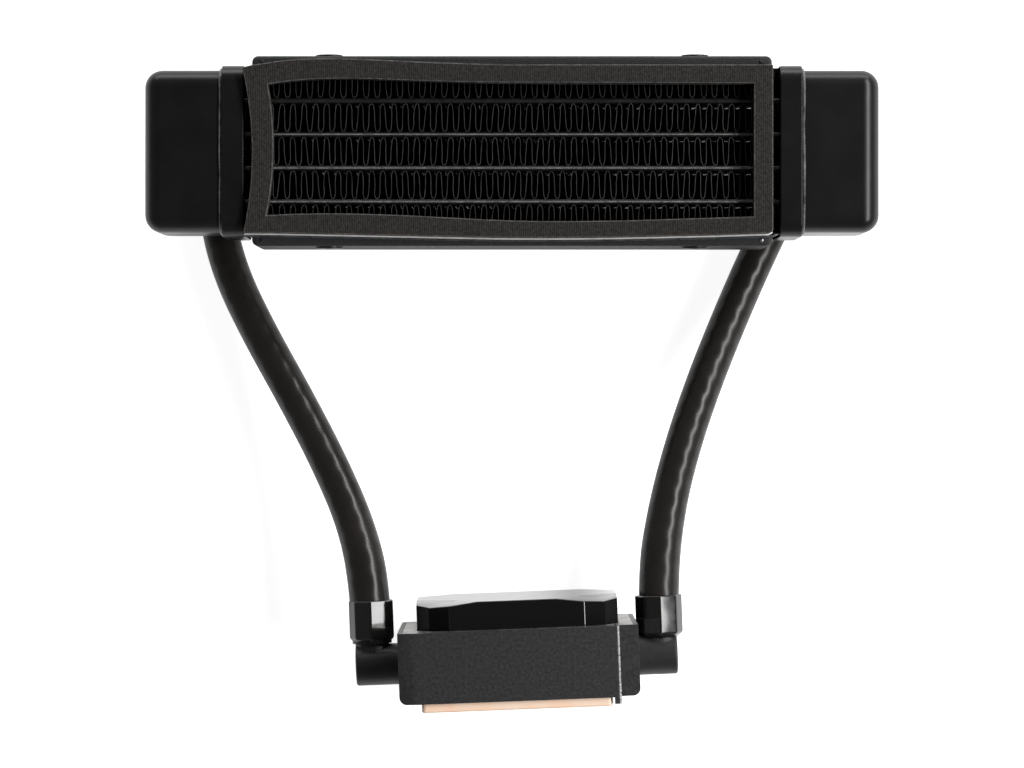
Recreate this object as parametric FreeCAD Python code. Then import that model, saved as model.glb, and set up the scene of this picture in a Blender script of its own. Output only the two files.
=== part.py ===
import FreeCAD, Part
import math
import os

# A low liquid cooler for a processor: a radiator with a tank at each end, two short hoses
# and a pump block that hangs between them on swivel elbows.
# It lies flat with the radiator's fan side up. X runs along the radiator, Y runs from the
# pump block to the radiator and Z is up. The origin is on the surface it lies on, under the
# middle of the whole object. All sizes are in millimetres.

# Places of the main parts
RADIATOR_Y = 52.83
RADIATOR_RAISE = 13.0
BLOCK_X = 1.6
BLOCK_Y = -64.24
BLOCK_ROLL = 2.2

# Clearances
PUSH_FIT = 0.05
RUNNING_FIT = 0.05
SIDE_PLAY = 0.3

# Tanks
TANK_REACH = 17.7
TANK_HEIGHT = 37.2
TANK_DEPTH = 27.0
TANK_WALL = 1.5
TANK_EDGE = 3.0

# Headers
HEADER_PLATE = 1.5
COLLAR_LENGTH = 5.2
COLLAR_WALL = 0.95
COLLAR_EDGE = 0.35

# Core
CORE_LENGTH = 122.2
CORE_DEPTH = 24.0
TUBE_COUNT = 4
TUBE_PITCH = 7.7
TUBE_THICKNESS = 1.2
TUBE_WALL = 0.25
TUBE_PAST_PLATE = 0.5
FIN_PITCH = 2.6
FIN_SHEET = 0.2
FIN_SETBACK = 0.5
FIN_CREST = 0.5

# Side bars and channels
BAR_THICKNESS = 2.05
BAR_END_RISE = 0.7
CHANNEL_SETBACK = 1.75
CHANNEL_SHEET = 1.0
CHANNEL_LIP = 4.5
CHANNEL_BEND = 0.8
CHANNEL_CORNER = 1.4
INSERT_SPACING = 83.8
INSERT_FROM_FRONT = 4.5
INSERT_HEAD_RADIUS = 3.2
INSERT_HEAD_HEIGHT = 0.5
INSERT_BODY_RADIUS = 2.3
INSERT_HOLE_RADIUS = 1.25
RIVET_FROM_END = 2.4
RIVET_FROM_OUTSIDE = 1.35
RIVET_HEAD_RADIUS = 0.5
RIVET_HEAD_HEIGHT = 0.35
RIVET_SHANK_RADIUS = 0.3
RIVET_SHANK = 2.5

# Gasket, cut by hand and wavy. Each long side is a run of points: the share of the core's half
# length from its middle, and the distance outwards from the inner face of the side bar.
TAPE_THICKNESS = 0.2
TAPE_SHOWS = 0.8
GASKET_THICKNESS = 3.3
GASKET_TOP_OUTER = [
    (-0.993, 0.15), (-0.751, 2.15), (-0.622, 2.15),
    (-0.417, 1.65), (-0.155, 0.75), (0.972, 0.85),
]
GASKET_TOP_INNER = [
    (-0.908, -3.75), (-0.751, -2.65), (-0.602, -2.45),
    (-0.304, -3.05), (-0.044, -3.35), (0.9, -3.55),
]
GASKET_BOTTOM_OUTER = [
    (-0.989, 0.2), (-0.491, 0.7), (-0.008, 1.3),
    (0.476, 1.1), (0.956, 0.3),
]
GASKET_BOTTOM_INNER = [
    (-0.913, -3.85), (-0.491, -4.05), (-0.304, -3.55),
    (-0.008, -2.65), (0.327, -2.55), (0.9, -3.55),
]
GASKET_END_DIP = 1.4
GASKET_CUT_CORNER = 1.0

# Hoses and their crimp sleeves
HOSE_RADIUS = 4.3
HOSE_BORE_RADIUS = 2.8
HOSE_END_RUN = 13.5
SLEEVE_RADIUS = 5.2
SLEEVE_LENGTH = 10.0
SLEEVE_CHAMFER = 0.7
BOSS_RADIUS = 3.9
BARB_RADIUS = 2.45
BARB_RIDGE = 0.3
BARB_LENGTH = 9.0
BARB_RIDGE_COUNT = 3
PASSAGE_RADIUS = 1.6

# Route of each hose between its two fittings. Each point has its share of the way from the
# radiator, and its distance in X and in Z from the straight line between the two ends.
LEFT_HOSE_MIDDLE = [
    (0.2404, -4.89, -2.4),
    (0.3658, -2.58, -1.56),
    (0.492, 0.79, -0.14),
    (0.6227, 3.8, 1.51),
    (0.756, 5.5, 2.41),
]
RIGHT_HOSE_MIDDLE = [
    (0.2349, -4.03, -2.4),
    (0.3572, -5.82, -1.71),
    (0.4795, -7.21, -0.22),
    (0.6036, -7.84, 1.24),
    (0.7322, -7.31, 2.32),
]

# Outlet elbows on the backs of the tanks
OUTLET_FROM_END = 13.0
OUTLET_ABOVE_MIDDLE = 5.5
OUTLET_POST_RADIUS = 4.6
OUTLET_POST_CHAMFER = 0.6
OUTLET_BARB_HEIGHT = 5.75
OUTLET_SHOULDER = 5.6
OUTLET_SPIGOT_RADIUS = 3.4
OUTLET_SPIGOT_INSIDE = 1.5
LEFT_OUTLET_ANGLE = 3.0
RIGHT_OUTLET_ANGLE = 24.0

# Swivel elbows on the sides of the pump block
BARREL_RADIUS = 4.8
BARREL_ROUND = 0.6
BARREL_PAST_BARB = 3.9
LEFT_BARB_FROM_SIDE = 6.5
RIGHT_BARB_FROM_SIDE = 5.5
SWIVEL_SHOULDER = 5.0
SPIGOT_RADIUS = 3.7
SPIGOT_LENGTH = 6.5
RING_SECTION = 0.58
RING_FROM_END = 2.2
RING_GROOVE_FLOOR = 2.5

# Pump housing. Heights are measured from its underside.
HOUSING_LENGTH = 54.8
HOUSING_DEPTH = 46.0
HOUSING_HEIGHT = 16.15
SWIVEL_HEIGHT = 7.95
NOTCH_LENGTH = 4.35
NOTCH_DEPTH = 3.0
FRONT_CHAMFER_LENGTH = 4.0
FRONT_CHAMFER_DEPTH = 1.2
HOUSING_ROUND = 1.7
NOTCH_EDGE = 0.7
LUG_LENGTH = 1.6
LUG_DEPTH = 2.0
LUG_HEIGHT = 1.5
RIM_WIDTH = 1.0
PLATE_THICKNESS = 1.0
BORE_DEPTH = 7.0

# Chambers inside the pump housing
FIN_POCKET_FROM_END = 7.7
FIN_POCKET_FROM_SIDE = 9.2
FIN_POCKET_HEIGHT = 3.4
INLET_PASSAGE_HEIGHT = 1.5
POCKET_CEILING = 1.5
VOLUTE_RADIUS = 9.5
VOLUTE_HEIGHT = 4.3
MOTOR_RADIUS = 12.0
SUCTION_HOLE_RADIUS = 1.4
SUCTION_HOLE_OFFSET = 4.0
SHAFT_SEAT_DEPTH = 1.0

# Cold plate with its fins, seal and screws
COLD_PLATE_FROM_LEFT = 5.0
COLD_PLATE_FROM_RIGHT = 6.4
COLD_PLATE_FROM_FRONT = 0.8
COLD_PLATE_THICKNESS = 2.0
COLD_PLATE_EDGE = 0.3
COPPER_FIN_PITCH = 1.4
COPPER_FIN_THICKNESS = 0.5
COPPER_FIN_FROM_WALL = 1.5
COPPER_FIN_HEIGHT = 2.1
SEAL_FROM_POCKET = 1.8
SEAL_WIDTH = 1.4
SEAL_CORNER = 3.0
SEAL_HEIGHT = 1.2
SEAL_ROOM = 0.1
PLATE_SCREW_INSET = 2.4
PLATE_SCREW_HEAD = 1.7
PLATE_SCREW_SHANK = 0.8
PLATE_SCREW_LENGTH = 5.5
PLATE_SCREW_SUNK = 0.15
JET_PLATE_THICKNESS = 1.0
JET_SLOT_WIDTH = 1.6
JET_SLOT_FROM_END = 4.0

# Retention plate screws
CORNER_SCREW_FROM_SIDE = 5.2
CORNER_SCREW_FROM_FRONT = 6.0
CORNER_SCREW_HEAD = 1.7
CORNER_SCREW_SHANK = 1.0
CORNER_SCREW_LENGTH = 6.0
CORNER_SCREW_SUNK = 0.05
HOLE_ROOM = 0.1

# Cap
CAP_FROM_SIDE = 4.3
CAP_FROM_FRONT = 4.4
CAP_CORNER = 7.8
CAP_CORNER_BULGE = 0.9
CAP_RISE = 6.5
CAP_WALL = 1.6
CAP_FACET_ALONG = 6.4
CAP_FACET_INWARD = 6.0
CAP_FACET_DROP = 1.2
CAP_PLATE_ROOM = 0.15

# Motor and impeller
CAN_FLANGE_THICKNESS = 1.2
CAN_CUP_RADIUS = 6.0
CAN_WALL = 0.8
CAN_CUP_HEIGHT = 5.8
CAN_BOSS_RADIUS = 1.8
CAN_BOSS_HEIGHT = 0.8
SHAFT_RADIUS = 1.0
SHAFT_IN_BOSS = 0.8
BUSH_RADIUS = 2.6
BUSH_END_PLAY = 0.1
IMPELLER_RADIUS = 8.4
IMPELLER_CLEARANCE = 0.6
IMPELLER_DISC = 0.8
IMPELLER_HUB_RADIUS = 3.6
BLADE_COUNT = 7
BLADE_HEIGHT = 2.3
BLADE_THICKNESS = 0.8
BLADE_LEAN = 35.0
MAGNET_AIR_GAP = 0.4
MAGNET_TOP_GAP = 0.4
STATOR_RADIUS = 11.8
STATOR_YOKE = 2.0
STATOR_HEIGHT = 4.0
POLE_COUNT = 6
POLE_WIDTH = 2.6
POLE_HEIGHT = 2.4
POLE_GAP = 0.25
COIL_THICKNESS = 0.7
COIL_START = 1.0
COIL_END_ROOM = 0.35
BOARD_RADIUS = 12.9
BOARD_THICKNESS = 1.2
BOARD_PART_HEIGHT = 1.3

# Cable inlet on the side that the block lies on
INLET_X = 9.0
INLET_WIDTH = 5.0
INLET_HEIGHT = 2.2
GROMMET_LENGTH = 5.0
GROMMET_HOLE_RADIUS = 0.8

# Sizes that follow from the ones above
TANK_MOUTH_X = CORE_LENGTH / 2 + HEADER_PLATE + PUSH_FIT
COLLAR_EDGE_X = CORE_LENGTH / 2 + COLLAR_LENGTH
TANK_END_X = COLLAR_EDGE_X + TANK_REACH
CORE_MIDDLE_Z = RADIATOR_RAISE + TANK_DEPTH / 2
CORE_FRONT_Z = CORE_MIDDLE_Z + CORE_DEPTH / 2
CORE_BACK_Z = CORE_MIDDLE_Z - CORE_DEPTH / 2
CHANNEL_FRONT_Z = CORE_FRONT_Z + CHANNEL_SHEET
FIN_ROW_HEIGHT = TUBE_PITCH - TUBE_THICKNESS
BAR_INNER_Y = TUBE_PITCH * (TUBE_COUNT + 1) / 2 - TUBE_THICKNESS / 2
BAR_OUTER_Y = BAR_INNER_Y + BAR_THICKNESS
CHANNEL_OUTER_Y = BAR_OUTER_Y + CHANNEL_SHEET
CHANNEL_LENGTH = CORE_LENGTH - 2 * CHANNEL_SETBACK
OUTLET_X = TANK_END_X - OUTLET_FROM_END
BLOCK_Z = HOUSING_DEPTH / 2
FLOOR_V = -SWIVEL_HEIGHT
TOP_V = FLOOR_V + HOUSING_HEIGHT
RECESS_V = TOP_V - PLATE_THICKNESS
POCKET_TOP_V = FLOOR_V + FIN_POCKET_HEIGHT
VOLUTE_FLOOR_V = POCKET_TOP_V + POCKET_CEILING
LEDGE_V = VOLUTE_FLOOR_V + VOLUTE_HEIGHT
CAN_TOP_V = LEDGE_V + CAN_CUP_HEIGHT
FLANGE_TOP_V = LEDGE_V + CAN_FLANGE_THICKNESS
CAP_TOP_V = TOP_V + CAP_RISE
CAP_LENGTH = HOUSING_LENGTH - 2 * CAP_FROM_SIDE
CAP_DEPTH = HOUSING_DEPTH - 2 * CAP_FROM_FRONT
CORNER_SCREW_X = HOUSING_LENGTH / 2 - CORNER_SCREW_FROM_SIDE
CORNER_SCREW_Z = HOUSING_DEPTH / 2 - CORNER_SCREW_FROM_FRONT
COLD_PLATE_LENGTH = HOUSING_LENGTH - COLD_PLATE_FROM_LEFT - COLD_PLATE_FROM_RIGHT
COLD_PLATE_DEPTH = HOUSING_DEPTH - 2 * COLD_PLATE_FROM_FRONT
COLD_PLATE_SHIFT = (COLD_PLATE_FROM_LEFT - COLD_PLATE_FROM_RIGHT) / 2
FIN_POCKET_LENGTH = COLD_PLATE_LENGTH - 2 * FIN_POCKET_FROM_END
FIN_POCKET_DEPTH = COLD_PLATE_DEPTH - 2 * FIN_POCKET_FROM_SIDE
COPPER_FIN_COUNT = int((FIN_POCKET_LENGTH - 2 * COPPER_FIN_FROM_WALL) / COPPER_FIN_PITCH) + 1
SEAL_LENGTH = FIN_POCKET_LENGTH + 2 * (SEAL_FROM_POCKET + SEAL_WIDTH)
SEAL_DEPTH = FIN_POCKET_DEPTH + 2 * (SEAL_FROM_POCKET + SEAL_WIDTH)

X_AXIS = FreeCAD.Vector(1, 0, 0)
Y_AXIS = FreeCAD.Vector(0, 1, 0)
Z_AXIS = FreeCAD.Vector(0, 0, 1)


def vector(x, y, z):
    return FreeCAD.Vector(x, y, z)


def box(low, high):
    """A box between two opposite corners."""
    size = [high[k] - low[k] for k in range(3)]
    return Part.makeBox(size[0], size[1], size[2], vector(*low))


def cylinder(radius, length, base, axis):
    return Part.makeCylinder(radius, length, vector(*base), axis)


def prism(points, start, end, axis):
    """A polygon swept from one height to another, across Z as (x, y) or across Y as (x, z)."""
    if axis == "z":
        corners = [vector(x, y, start) for x, y in points]
        travel = vector(0, 0, end - start)
    else:
        corners = [vector(x, start, z) for x, z in points]
        travel = vector(0, end - start, 0)
    face = Part.Face(Part.makePolygon(corners + corners[:1]))
    return face.extrude(travel)


def fused(shapes):
    whole = shapes[0].multiFuse(shapes[1:]) if len(shapes) > 1 else shapes[0]
    return whole.removeSplitter()


def edges_along(shape, axis, test):
    """The straight edges that run along an axis and whose middle passes a test."""
    found = []
    for edge in shape.Edges:
        if edge.Curve.TypeId != "Part::GeomLine":
            continue
        run = edge.Vertexes[1].Point - edge.Vertexes[0].Point
        if abs(run.dot(axis)) < 0.999 * run.Length:
            continue
        if test(edge.CenterOfMass):
            found.append(edge)
    return found


def edges_at(shape, test):
    """The edges whose middle passes a test."""
    return [edge for edge in shape.Edges if test(edge.CenterOfMass)]


def mirrored(shape, x=False, y=False):
    """The shape mirrored about the radiator's own middle planes."""
    if x:
        shape = shape.mirror(vector(0, 0, 0), X_AXIS)
    if y:
        shape = shape.mirror(vector(0, 0, 0), Y_AXIS)
    return shape


def on_radiator(shape):
    """Moves a shape drawn about the radiator's middle line to its place."""
    return shape.translated(vector(0, RADIATOR_Y, 0))


def on_block(shape):
    """Moves a shape drawn about the swivel axis to its place in the tilted pump block.

    There x runs along the swivel axis, y from the cold plate to the cap and z is up.
    """
    turned = shape.copy()
    turned.rotate(vector(0, 0, 0), Z_AXIS, BLOCK_ROLL)
    return turned.translated(vector(BLOCK_X, BLOCK_Y, BLOCK_Z))


def rounded_block(x0, x1, half_y, half_z, edge):
    """A block along X with its four long edges rounded, centred on the core's depth."""
    block = box((x0, -half_y, CORE_MIDDLE_Z - half_z), (x1, half_y, CORE_MIDDLE_Z + half_z))
    return block.makeFillet(edge, edges_along(block, X_AXIS, lambda c: True))


# Radiator


def make_tank():
    """The right tank: a rounded box, open towards the core, with a hole for its outlet elbow."""
    half_y = TANK_HEIGHT / 2
    half_z = TANK_DEPTH / 2
    shell = box(
        (TANK_MOUTH_X, -half_y, CORE_MIDDLE_Z - half_z),
        (TANK_END_X, half_y, CORE_MIDDLE_Z + half_z),
    )
    rounded = edges_at(shell, lambda c: c.x > TANK_MOUTH_X + 0.1)
    shell = shell.makeFillet(TANK_EDGE, rounded)
    hollow = box(
        (TANK_MOUTH_X - 1, -half_y + TANK_WALL, CORE_MIDDLE_Z - half_z + TANK_WALL),
        (TANK_END_X - TANK_WALL, half_y - TANK_WALL, CORE_MIDDLE_Z + half_z - TANK_WALL),
    )
    inner_edge = max(TANK_EDGE - TANK_WALL, 0.3)
    hollow = hollow.makeFillet(inner_edge, edges_at(hollow, lambda c: c.x > TANK_MOUTH_X))
    hole = cylinder(
        OUTLET_SPIGOT_RADIUS,
        2 * TANK_WALL,
        (OUTLET_X, OUTLET_ABOVE_MIDDLE, RADIATOR_RAISE - TANK_WALL / 2),
        Z_AXIS,
    )
    return shell.cut(hollow).cut(hole)


def tube_section(shrink):
    """The flat tube's outline across X, with round edges, made smaller by a wall."""
    half = TUBE_THICKNESS / 2 - shrink
    top = CORE_FRONT_Z - TUBE_THICKNESS / 2
    bottom = CORE_BACK_Z + TUBE_THICKNESS / 2
    right = Part.LineSegment(vector(0, half, bottom), vector(0, half, top))
    crown = Part.Arc(vector(0, half, top), vector(0, 0, top + half), vector(0, -half, top))
    left = Part.LineSegment(vector(0, -half, top), vector(0, -half, bottom))
    keel = Part.Arc(vector(0, -half, bottom), vector(0, 0, bottom - half), vector(0, half, bottom))
    return Part.Wire([piece.toShape() for piece in (right, crown, left, keel)])


def tube_height(index):
    return (index - (TUBE_COUNT - 1) / 2) * TUBE_PITCH


def solid_tube(index, shrink, half_length):
    section = Part.Face(tube_section(shrink))
    section = section.translated(vector(-half_length, tube_height(index), 0))
    return section.extrude(vector(2 * half_length, 0, 0))


def make_tube(index):
    """A flat coolant tube that ends just inside both header plates."""
    half_length = CORE_LENGTH / 2 + HEADER_PLATE + TUBE_PAST_PLATE
    return solid_tube(index, 0, half_length).cut(solid_tube(index, TUBE_WALL, half_length + 1))


def make_header():
    """The right header: a plate with a slot for each tube, and a collar round the tank's mouth."""
    gap = PUSH_FIT
    half_y = TANK_HEIGHT / 2 + gap
    half_z = TANK_DEPTH / 2 + gap
    inner_x = CORE_LENGTH / 2
    outer = rounded_block(
        inner_x, COLLAR_EDGE_X, half_y + COLLAR_WALL, half_z + COLLAR_WALL, TANK_EDGE + COLLAR_WALL
    )
    rims = edges_at(outer, lambda c: c.x < inner_x + 0.01 or c.x > COLLAR_EDGE_X - 0.01)
    outer = outer.makeFillet(COLLAR_EDGE, rims)
    hollow = rounded_block(inner_x + HEADER_PLATE, COLLAR_EDGE_X + 1, half_y, half_z, TANK_EDGE + gap)
    header = outer.cut(hollow)
    for index in range(TUBE_COUNT):
        header = header.cut(solid_tube(index, 0, CORE_LENGTH))
    return header


def fin_centreline():
    """The folded strip's middle line: flat crests on alternate sides, joined by sloped legs."""
    waves = int((CORE_LENGTH - 1.0) / FIN_PITCH)
    half_height = (FIN_ROW_HEIGHT - FIN_SHEET) / 2
    start = -waves * FIN_PITCH / 2
    line = []
    for wave in range(waves):
        x = start + wave * FIN_PITCH
        line.append((x, -half_height))
        line.append((x + FIN_CREST, -half_height))
        line.append((x + FIN_PITCH / 2, half_height))
        line.append((x + FIN_PITCH / 2 + FIN_CREST, half_height))
    line.append((start + waves * FIN_PITCH, -half_height))
    return line


def beside(line, offset):
    """The line moved sideways by an offset, with its corners mitred."""
    moved = []
    for index, (x, y) in enumerate(line):
        before = line[max(index - 1, 0)]
        after = line[min(index + 1, len(line) - 1)]
        normals = []
        for a, b in ((before, (x, y)), ((x, y), after)):
            length = math.hypot(b[0] - a[0], b[1] - a[1])
            if length > 0:
                normals.append((-(b[1] - a[1]) / length, (b[0] - a[0]) / length))
        nx = sum(n[0] for n in normals) / len(normals)
        ny = sum(n[1] for n in normals) / len(normals)
        stretch = offset / (nx * nx + ny * ny)
        moved.append((x + nx * stretch, y + ny * stretch))
    return moved


def make_fin_strip(index):
    """One corrugated fin strip, whose crests touch the tube or side bar above and below it."""
    line = fin_centreline()
    outline = beside(line, FIN_SHEET / 2) + beside(line, -FIN_SHEET / 2)[::-1]
    strip = prism(outline, CORE_BACK_Z + FIN_SETBACK, CORE_FRONT_Z - FIN_SETBACK, "z")
    middle = (index - TUBE_COUNT / 2) * TUBE_PITCH
    return strip.translated(vector(0, middle, 0))


def insert_places():
    return [(side * INSERT_SPACING / 2, CHANNEL_FRONT_Z - INSERT_FROM_FRONT) for side in (-1, 1)]


def insert_holes():
    """The bodies of the upper pair of inserts, used to cut the holes that they fill."""
    return [
        cylinder(INSERT_BODY_RADIUS, CHANNEL_OUTER_Y - BAR_INNER_Y, (x, BAR_INNER_Y, z), Y_AXIS)
        for x, z in insert_places()
    ]


def rivet_places():
    x = CHANNEL_LENGTH / 2 - RIVET_FROM_END
    return [(side * x, CHANNEL_OUTER_Y - RIVET_FROM_OUTSIDE) for side in (-1, 1)]


def rivet_shank(x, y):
    """A rivet's shank, through the channel's front edge and into the side bar."""
    return cylinder(RIVET_SHANK_RADIUS, RIVET_SHANK, (x, y, CHANNEL_FRONT_Z - RIVET_SHANK), Z_AXIS)


def make_side_bar():
    """The upper side bar, which closes the core; its ends rise beside the channel's ends."""
    bar = box(
        (-CORE_LENGTH / 2, BAR_INNER_Y, CORE_BACK_Z),
        (CORE_LENGTH / 2, BAR_OUTER_Y, CORE_FRONT_Z),
    )
    parts = [bar]
    for side in (-1, 1):
        inner = side * CHANNEL_LENGTH / 2
        outer = side * CORE_LENGTH / 2
        end = box(
            (min(inner, outer), BAR_INNER_Y, CORE_BACK_Z),
            (max(inner, outer), BAR_OUTER_Y + BAR_END_RISE, CORE_FRONT_Z),
        )
        crown = edges_along(end, Z_AXIS, lambda c: c.y > BAR_OUTER_Y and abs(c.x) > CORE_LENGTH / 2 - 0.01)
        parts.append(end.makeFillet(BAR_END_RISE * 0.9, crown))
    bar = fused(parts)
    for hole in insert_holes():
        bar = bar.cut(hole)
    for x, y in rivet_places():
        bar = bar.cut(rivet_shank(x, y))
    return bar


def make_channel():
    """The upper side channel, folded round the side bar's outer face and both its edges."""
    half = CHANNEL_LENGTH / 2
    outer = box(
        (-half, CHANNEL_OUTER_Y - CHANNEL_LIP, CORE_BACK_Z - CHANNEL_SHEET),
        (half, CHANNEL_OUTER_Y, CHANNEL_FRONT_Z),
    )
    corners = edges_along(outer, Z_AXIS, lambda c: c.y > CHANNEL_OUTER_Y - 0.01)
    outer = outer.makeFillet(CHANNEL_CORNER, corners)
    bends = edges_along(outer, X_AXIS, lambda c: c.y > CHANNEL_OUTER_Y - 0.01)
    outer = outer.makeFillet(CHANNEL_BEND, bends)
    hollow = box((-half - 1, BAR_INNER_Y - CHANNEL_LIP, CORE_BACK_Z), (half + 1, BAR_OUTER_Y, CORE_FRONT_Z))
    channel = outer.cut(hollow)
    for hole in insert_holes():
        channel = channel.cut(hole)
    for x, y in rivet_places():
        channel = channel.cut(rivet_shank(x, y))
    return channel


def make_insert(x, z):
    """A pressed-in threaded insert of the upper channel, with a low round head outside."""
    depth = CHANNEL_OUTER_Y - BAR_INNER_Y
    body = cylinder(INSERT_BODY_RADIUS, depth, (x, BAR_INNER_Y, z), Y_AXIS)
    head = cylinder(INSERT_HEAD_RADIUS, INSERT_HEAD_HEIGHT, (x, CHANNEL_OUTER_Y, z), Y_AXIS)
    top = CHANNEL_OUTER_Y + INSERT_HEAD_HEIGHT
    head = head.makeFillet(INSERT_HEAD_HEIGHT * 0.6, edges_at(head, lambda c: c.y > top - 0.01))
    length = depth + INSERT_HEAD_HEIGHT + 2
    hole = cylinder(INSERT_HOLE_RADIUS, length, (x, BAR_INNER_Y - 1, z), Y_AXIS)
    return fused([body, head]).cut(hole)


def make_rivet(x, y):
    """A small rivet of the upper channel, with a domed head that faces the fan side."""
    head = cylinder(RIVET_HEAD_RADIUS, RIVET_HEAD_HEIGHT, (x, y, CHANNEL_FRONT_Z), Z_AXIS)
    top = CHANNEL_FRONT_Z + RIVET_HEAD_HEIGHT
    head = head.makeFillet(RIVET_HEAD_HEIGHT * 0.8, edges_at(head, lambda c: c.z > top - 0.01))
    return fused([rivet_shank(x, y), head])


def on_both_sides(shapes):
    """The shapes of the upper side and their mirror images on the lower side."""
    return Part.makeCompound(shapes + [mirrored(shape, y=True) for shape in shapes])


def gasket_side(points, direction, z, drop=0.0):
    """One long side of the gasket's outline, as points in the place where they lie."""
    return [
        vector(share * CORE_LENGTH / 2, direction * (BAR_INNER_Y + out) - drop, z)
        for share, out in points
    ]


def through(points):
    """A smooth curve through points, or a straight line between two."""
    if len(points) == 2:
        return Part.LineSegment(points[0], points[1]).toShape()
    curve = Part.BSplineCurve()
    curve.interpolate(points)
    return curve.toShape()


def dipped(start, end, dip):
    """The gasket's left end: a line that dips towards the right in its middle."""
    return [start, (start + end) * 0.5 + vector(dip, 0, 0), end]


def gasket_frame(z, thickness, drop):
    """The gasket's outline as a frame; its lower outer edge can drop to show below it."""
    top = gasket_side(GASKET_TOP_OUTER, 1, z)
    bottom = gasket_side(GASKET_BOTTOM_OUTER, -1, z, drop)
    corner_rise = top[-1].x - bottom[-1].x - GASKET_CUT_CORNER / 2
    right_end = vector(top[-1].x, bottom[-1].y + drop + corner_rise, z)
    edges = [
        through(top),
        through([top[-1], right_end]),
        through([right_end, bottom[-1]]),
        through(bottom),
        through(dipped(bottom[0], top[0], GASKET_END_DIP)),
    ]
    outer = Part.Wire(Part.__sortEdges__(edges))
    top = gasket_side(GASKET_TOP_INNER, 1, z)
    bottom = gasket_side(GASKET_BOTTOM_INNER, -1, z)
    edges = [
        through(top),
        through([top[-1], bottom[-1]]),
        through(bottom),
        through(dipped(bottom[0], top[0], GASKET_END_DIP)),
    ]
    inner = Part.Wire(Part.__sortEdges__(edges))
    lift = vector(0, 0, thickness)
    return Part.Face(outer).extrude(lift).cut(Part.Face(inner).extrude(lift))


# Hoses and fittings


def hose_wire(points):
    """Straight runs joined by tangent arcs, each as large as its two runs allow."""
    points = [vector(*point) for point in points]
    edges = []
    reached = points[0]
    radii = []
    for index in range(1, len(points) - 1):
        back = points[index - 1] - points[index]
        ahead = points[index + 1] - points[index]
        tangent = 0.45 * min(back.Length, ahead.Length)
        back.normalize()
        ahead.normalize()
        half_turn = (math.pi - back.getAngle(ahead)) / 2
        radius = tangent / math.tan(half_turn)
        radii.append(radius)
        start = points[index] + back * tangent
        end = points[index] + ahead * tangent
        inwards = (back + ahead).normalize()
        middle = points[index] + inwards * (radius / math.cos(half_turn) - radius)
        edges.append(Part.LineSegment(reached, start).toShape())
        edges.append(Part.Arc(start, middle, end).toShape())
        reached = end
    edges.append(Part.LineSegment(reached, points[-1]).toShape())
    return Part.Wire(edges), radii


def swept(points, radius):
    path, radii = hose_wire(points)
    start = vector(*points[0])
    heading = (vector(*points[1]) - start).normalize()
    ring = Part.Wire(Part.makeCircle(radius, start, heading))
    return path.makePipeShell([ring], True, False), path.Length, radii


def make_hose(points, name):
    """The rubber hose, with its bore."""
    outside, length, radii = swept(points, HOSE_RADIUS)
    bore = swept(points, HOSE_BORE_RADIUS)[0]
    hose = outside.cut(bore)
    section = math.pi * (HOSE_RADIUS ** 2 - HOSE_BORE_RADIUS ** 2)
    print(name, "length", round(length, 2), "volume share", round(hose.Volume / section / length, 4))
    print(name, "radii", [round(radius, 1) for radius in radii])
    return hose


def barb(shoulder, length):
    """A hose barb along X from the origin: a boss that ends in a shoulder, and ridges."""
    stub = cylinder(BOSS_RADIUS, shoulder, (0, 0, 0), X_AXIS)
    tail = cylinder(BARB_RADIUS, shoulder + length, (0, 0, 0), X_AXIS)
    parts = [stub, tail]
    step = length / (BARB_RIDGE_COUNT + 0.5)
    for index in range(BARB_RIDGE_COUNT):
        x = shoulder + (index + 0.6) * step
        ridge = Part.makeCone(
            BARB_RADIUS + BARB_RIDGE, BARB_RADIUS, step * 0.7, vector(x, 0, 0), X_AXIS
        )
        parts.append(ridge)
    return fused(parts)


def barb_passage(shoulder, length):
    return cylinder(PASSAGE_RADIUS, shoulder + length + 1, (0, 0, 0), X_AXIS)


def make_sleeve(shoulder):
    """A crimp sleeve along X, round a hose end that sits on a shoulder."""
    start = shoulder - PUSH_FIT
    outer = cylinder(SLEEVE_RADIUS, SLEEVE_LENGTH, (start, 0, 0), X_AXIS)
    near = edges_at(outer, lambda c: c.x < start + 0.01)
    outer = outer.makeChamfer(SLEEVE_CHAMFER, near)
    far = edges_at(outer, lambda c: c.x > start + SLEEVE_LENGTH - 0.01)
    outer = outer.makeFillet(SLEEVE_CHAMFER * 0.4, far)
    bore = cylinder(HOSE_RADIUS + PUSH_FIT, SLEEVE_LENGTH + 2, (start - 1, 0, 0), X_AXIS)
    return outer.cut(bore)


def outlet_heading(side):
    """The angle, about Z from +X, at which an outlet barb points."""
    angle = LEFT_OUTLET_ANGLE if side < 0 else RIGHT_OUTLET_ANGLE
    return -90.0 - side * angle


def on_outlet(shape, side):
    """Moves a shape drawn along X to the outlet barb of one tank."""
    turned = shape.copy()
    turned.rotate(vector(0, 0, 0), Z_AXIS, outlet_heading(side))
    place = vector(side * OUTLET_X, RADIATOR_Y + OUTLET_ABOVE_MIDDLE, OUTLET_BARB_HEIGHT)
    return turned.translated(place)


def outlet_point(side, distance):
    heading = math.radians(outlet_heading(side))
    return (
        side * OUTLET_X + distance * math.cos(heading),
        RADIATOR_Y + OUTLET_ABOVE_MIDDLE + distance * math.sin(heading),
        OUTLET_BARB_HEIGHT,
    )


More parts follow.
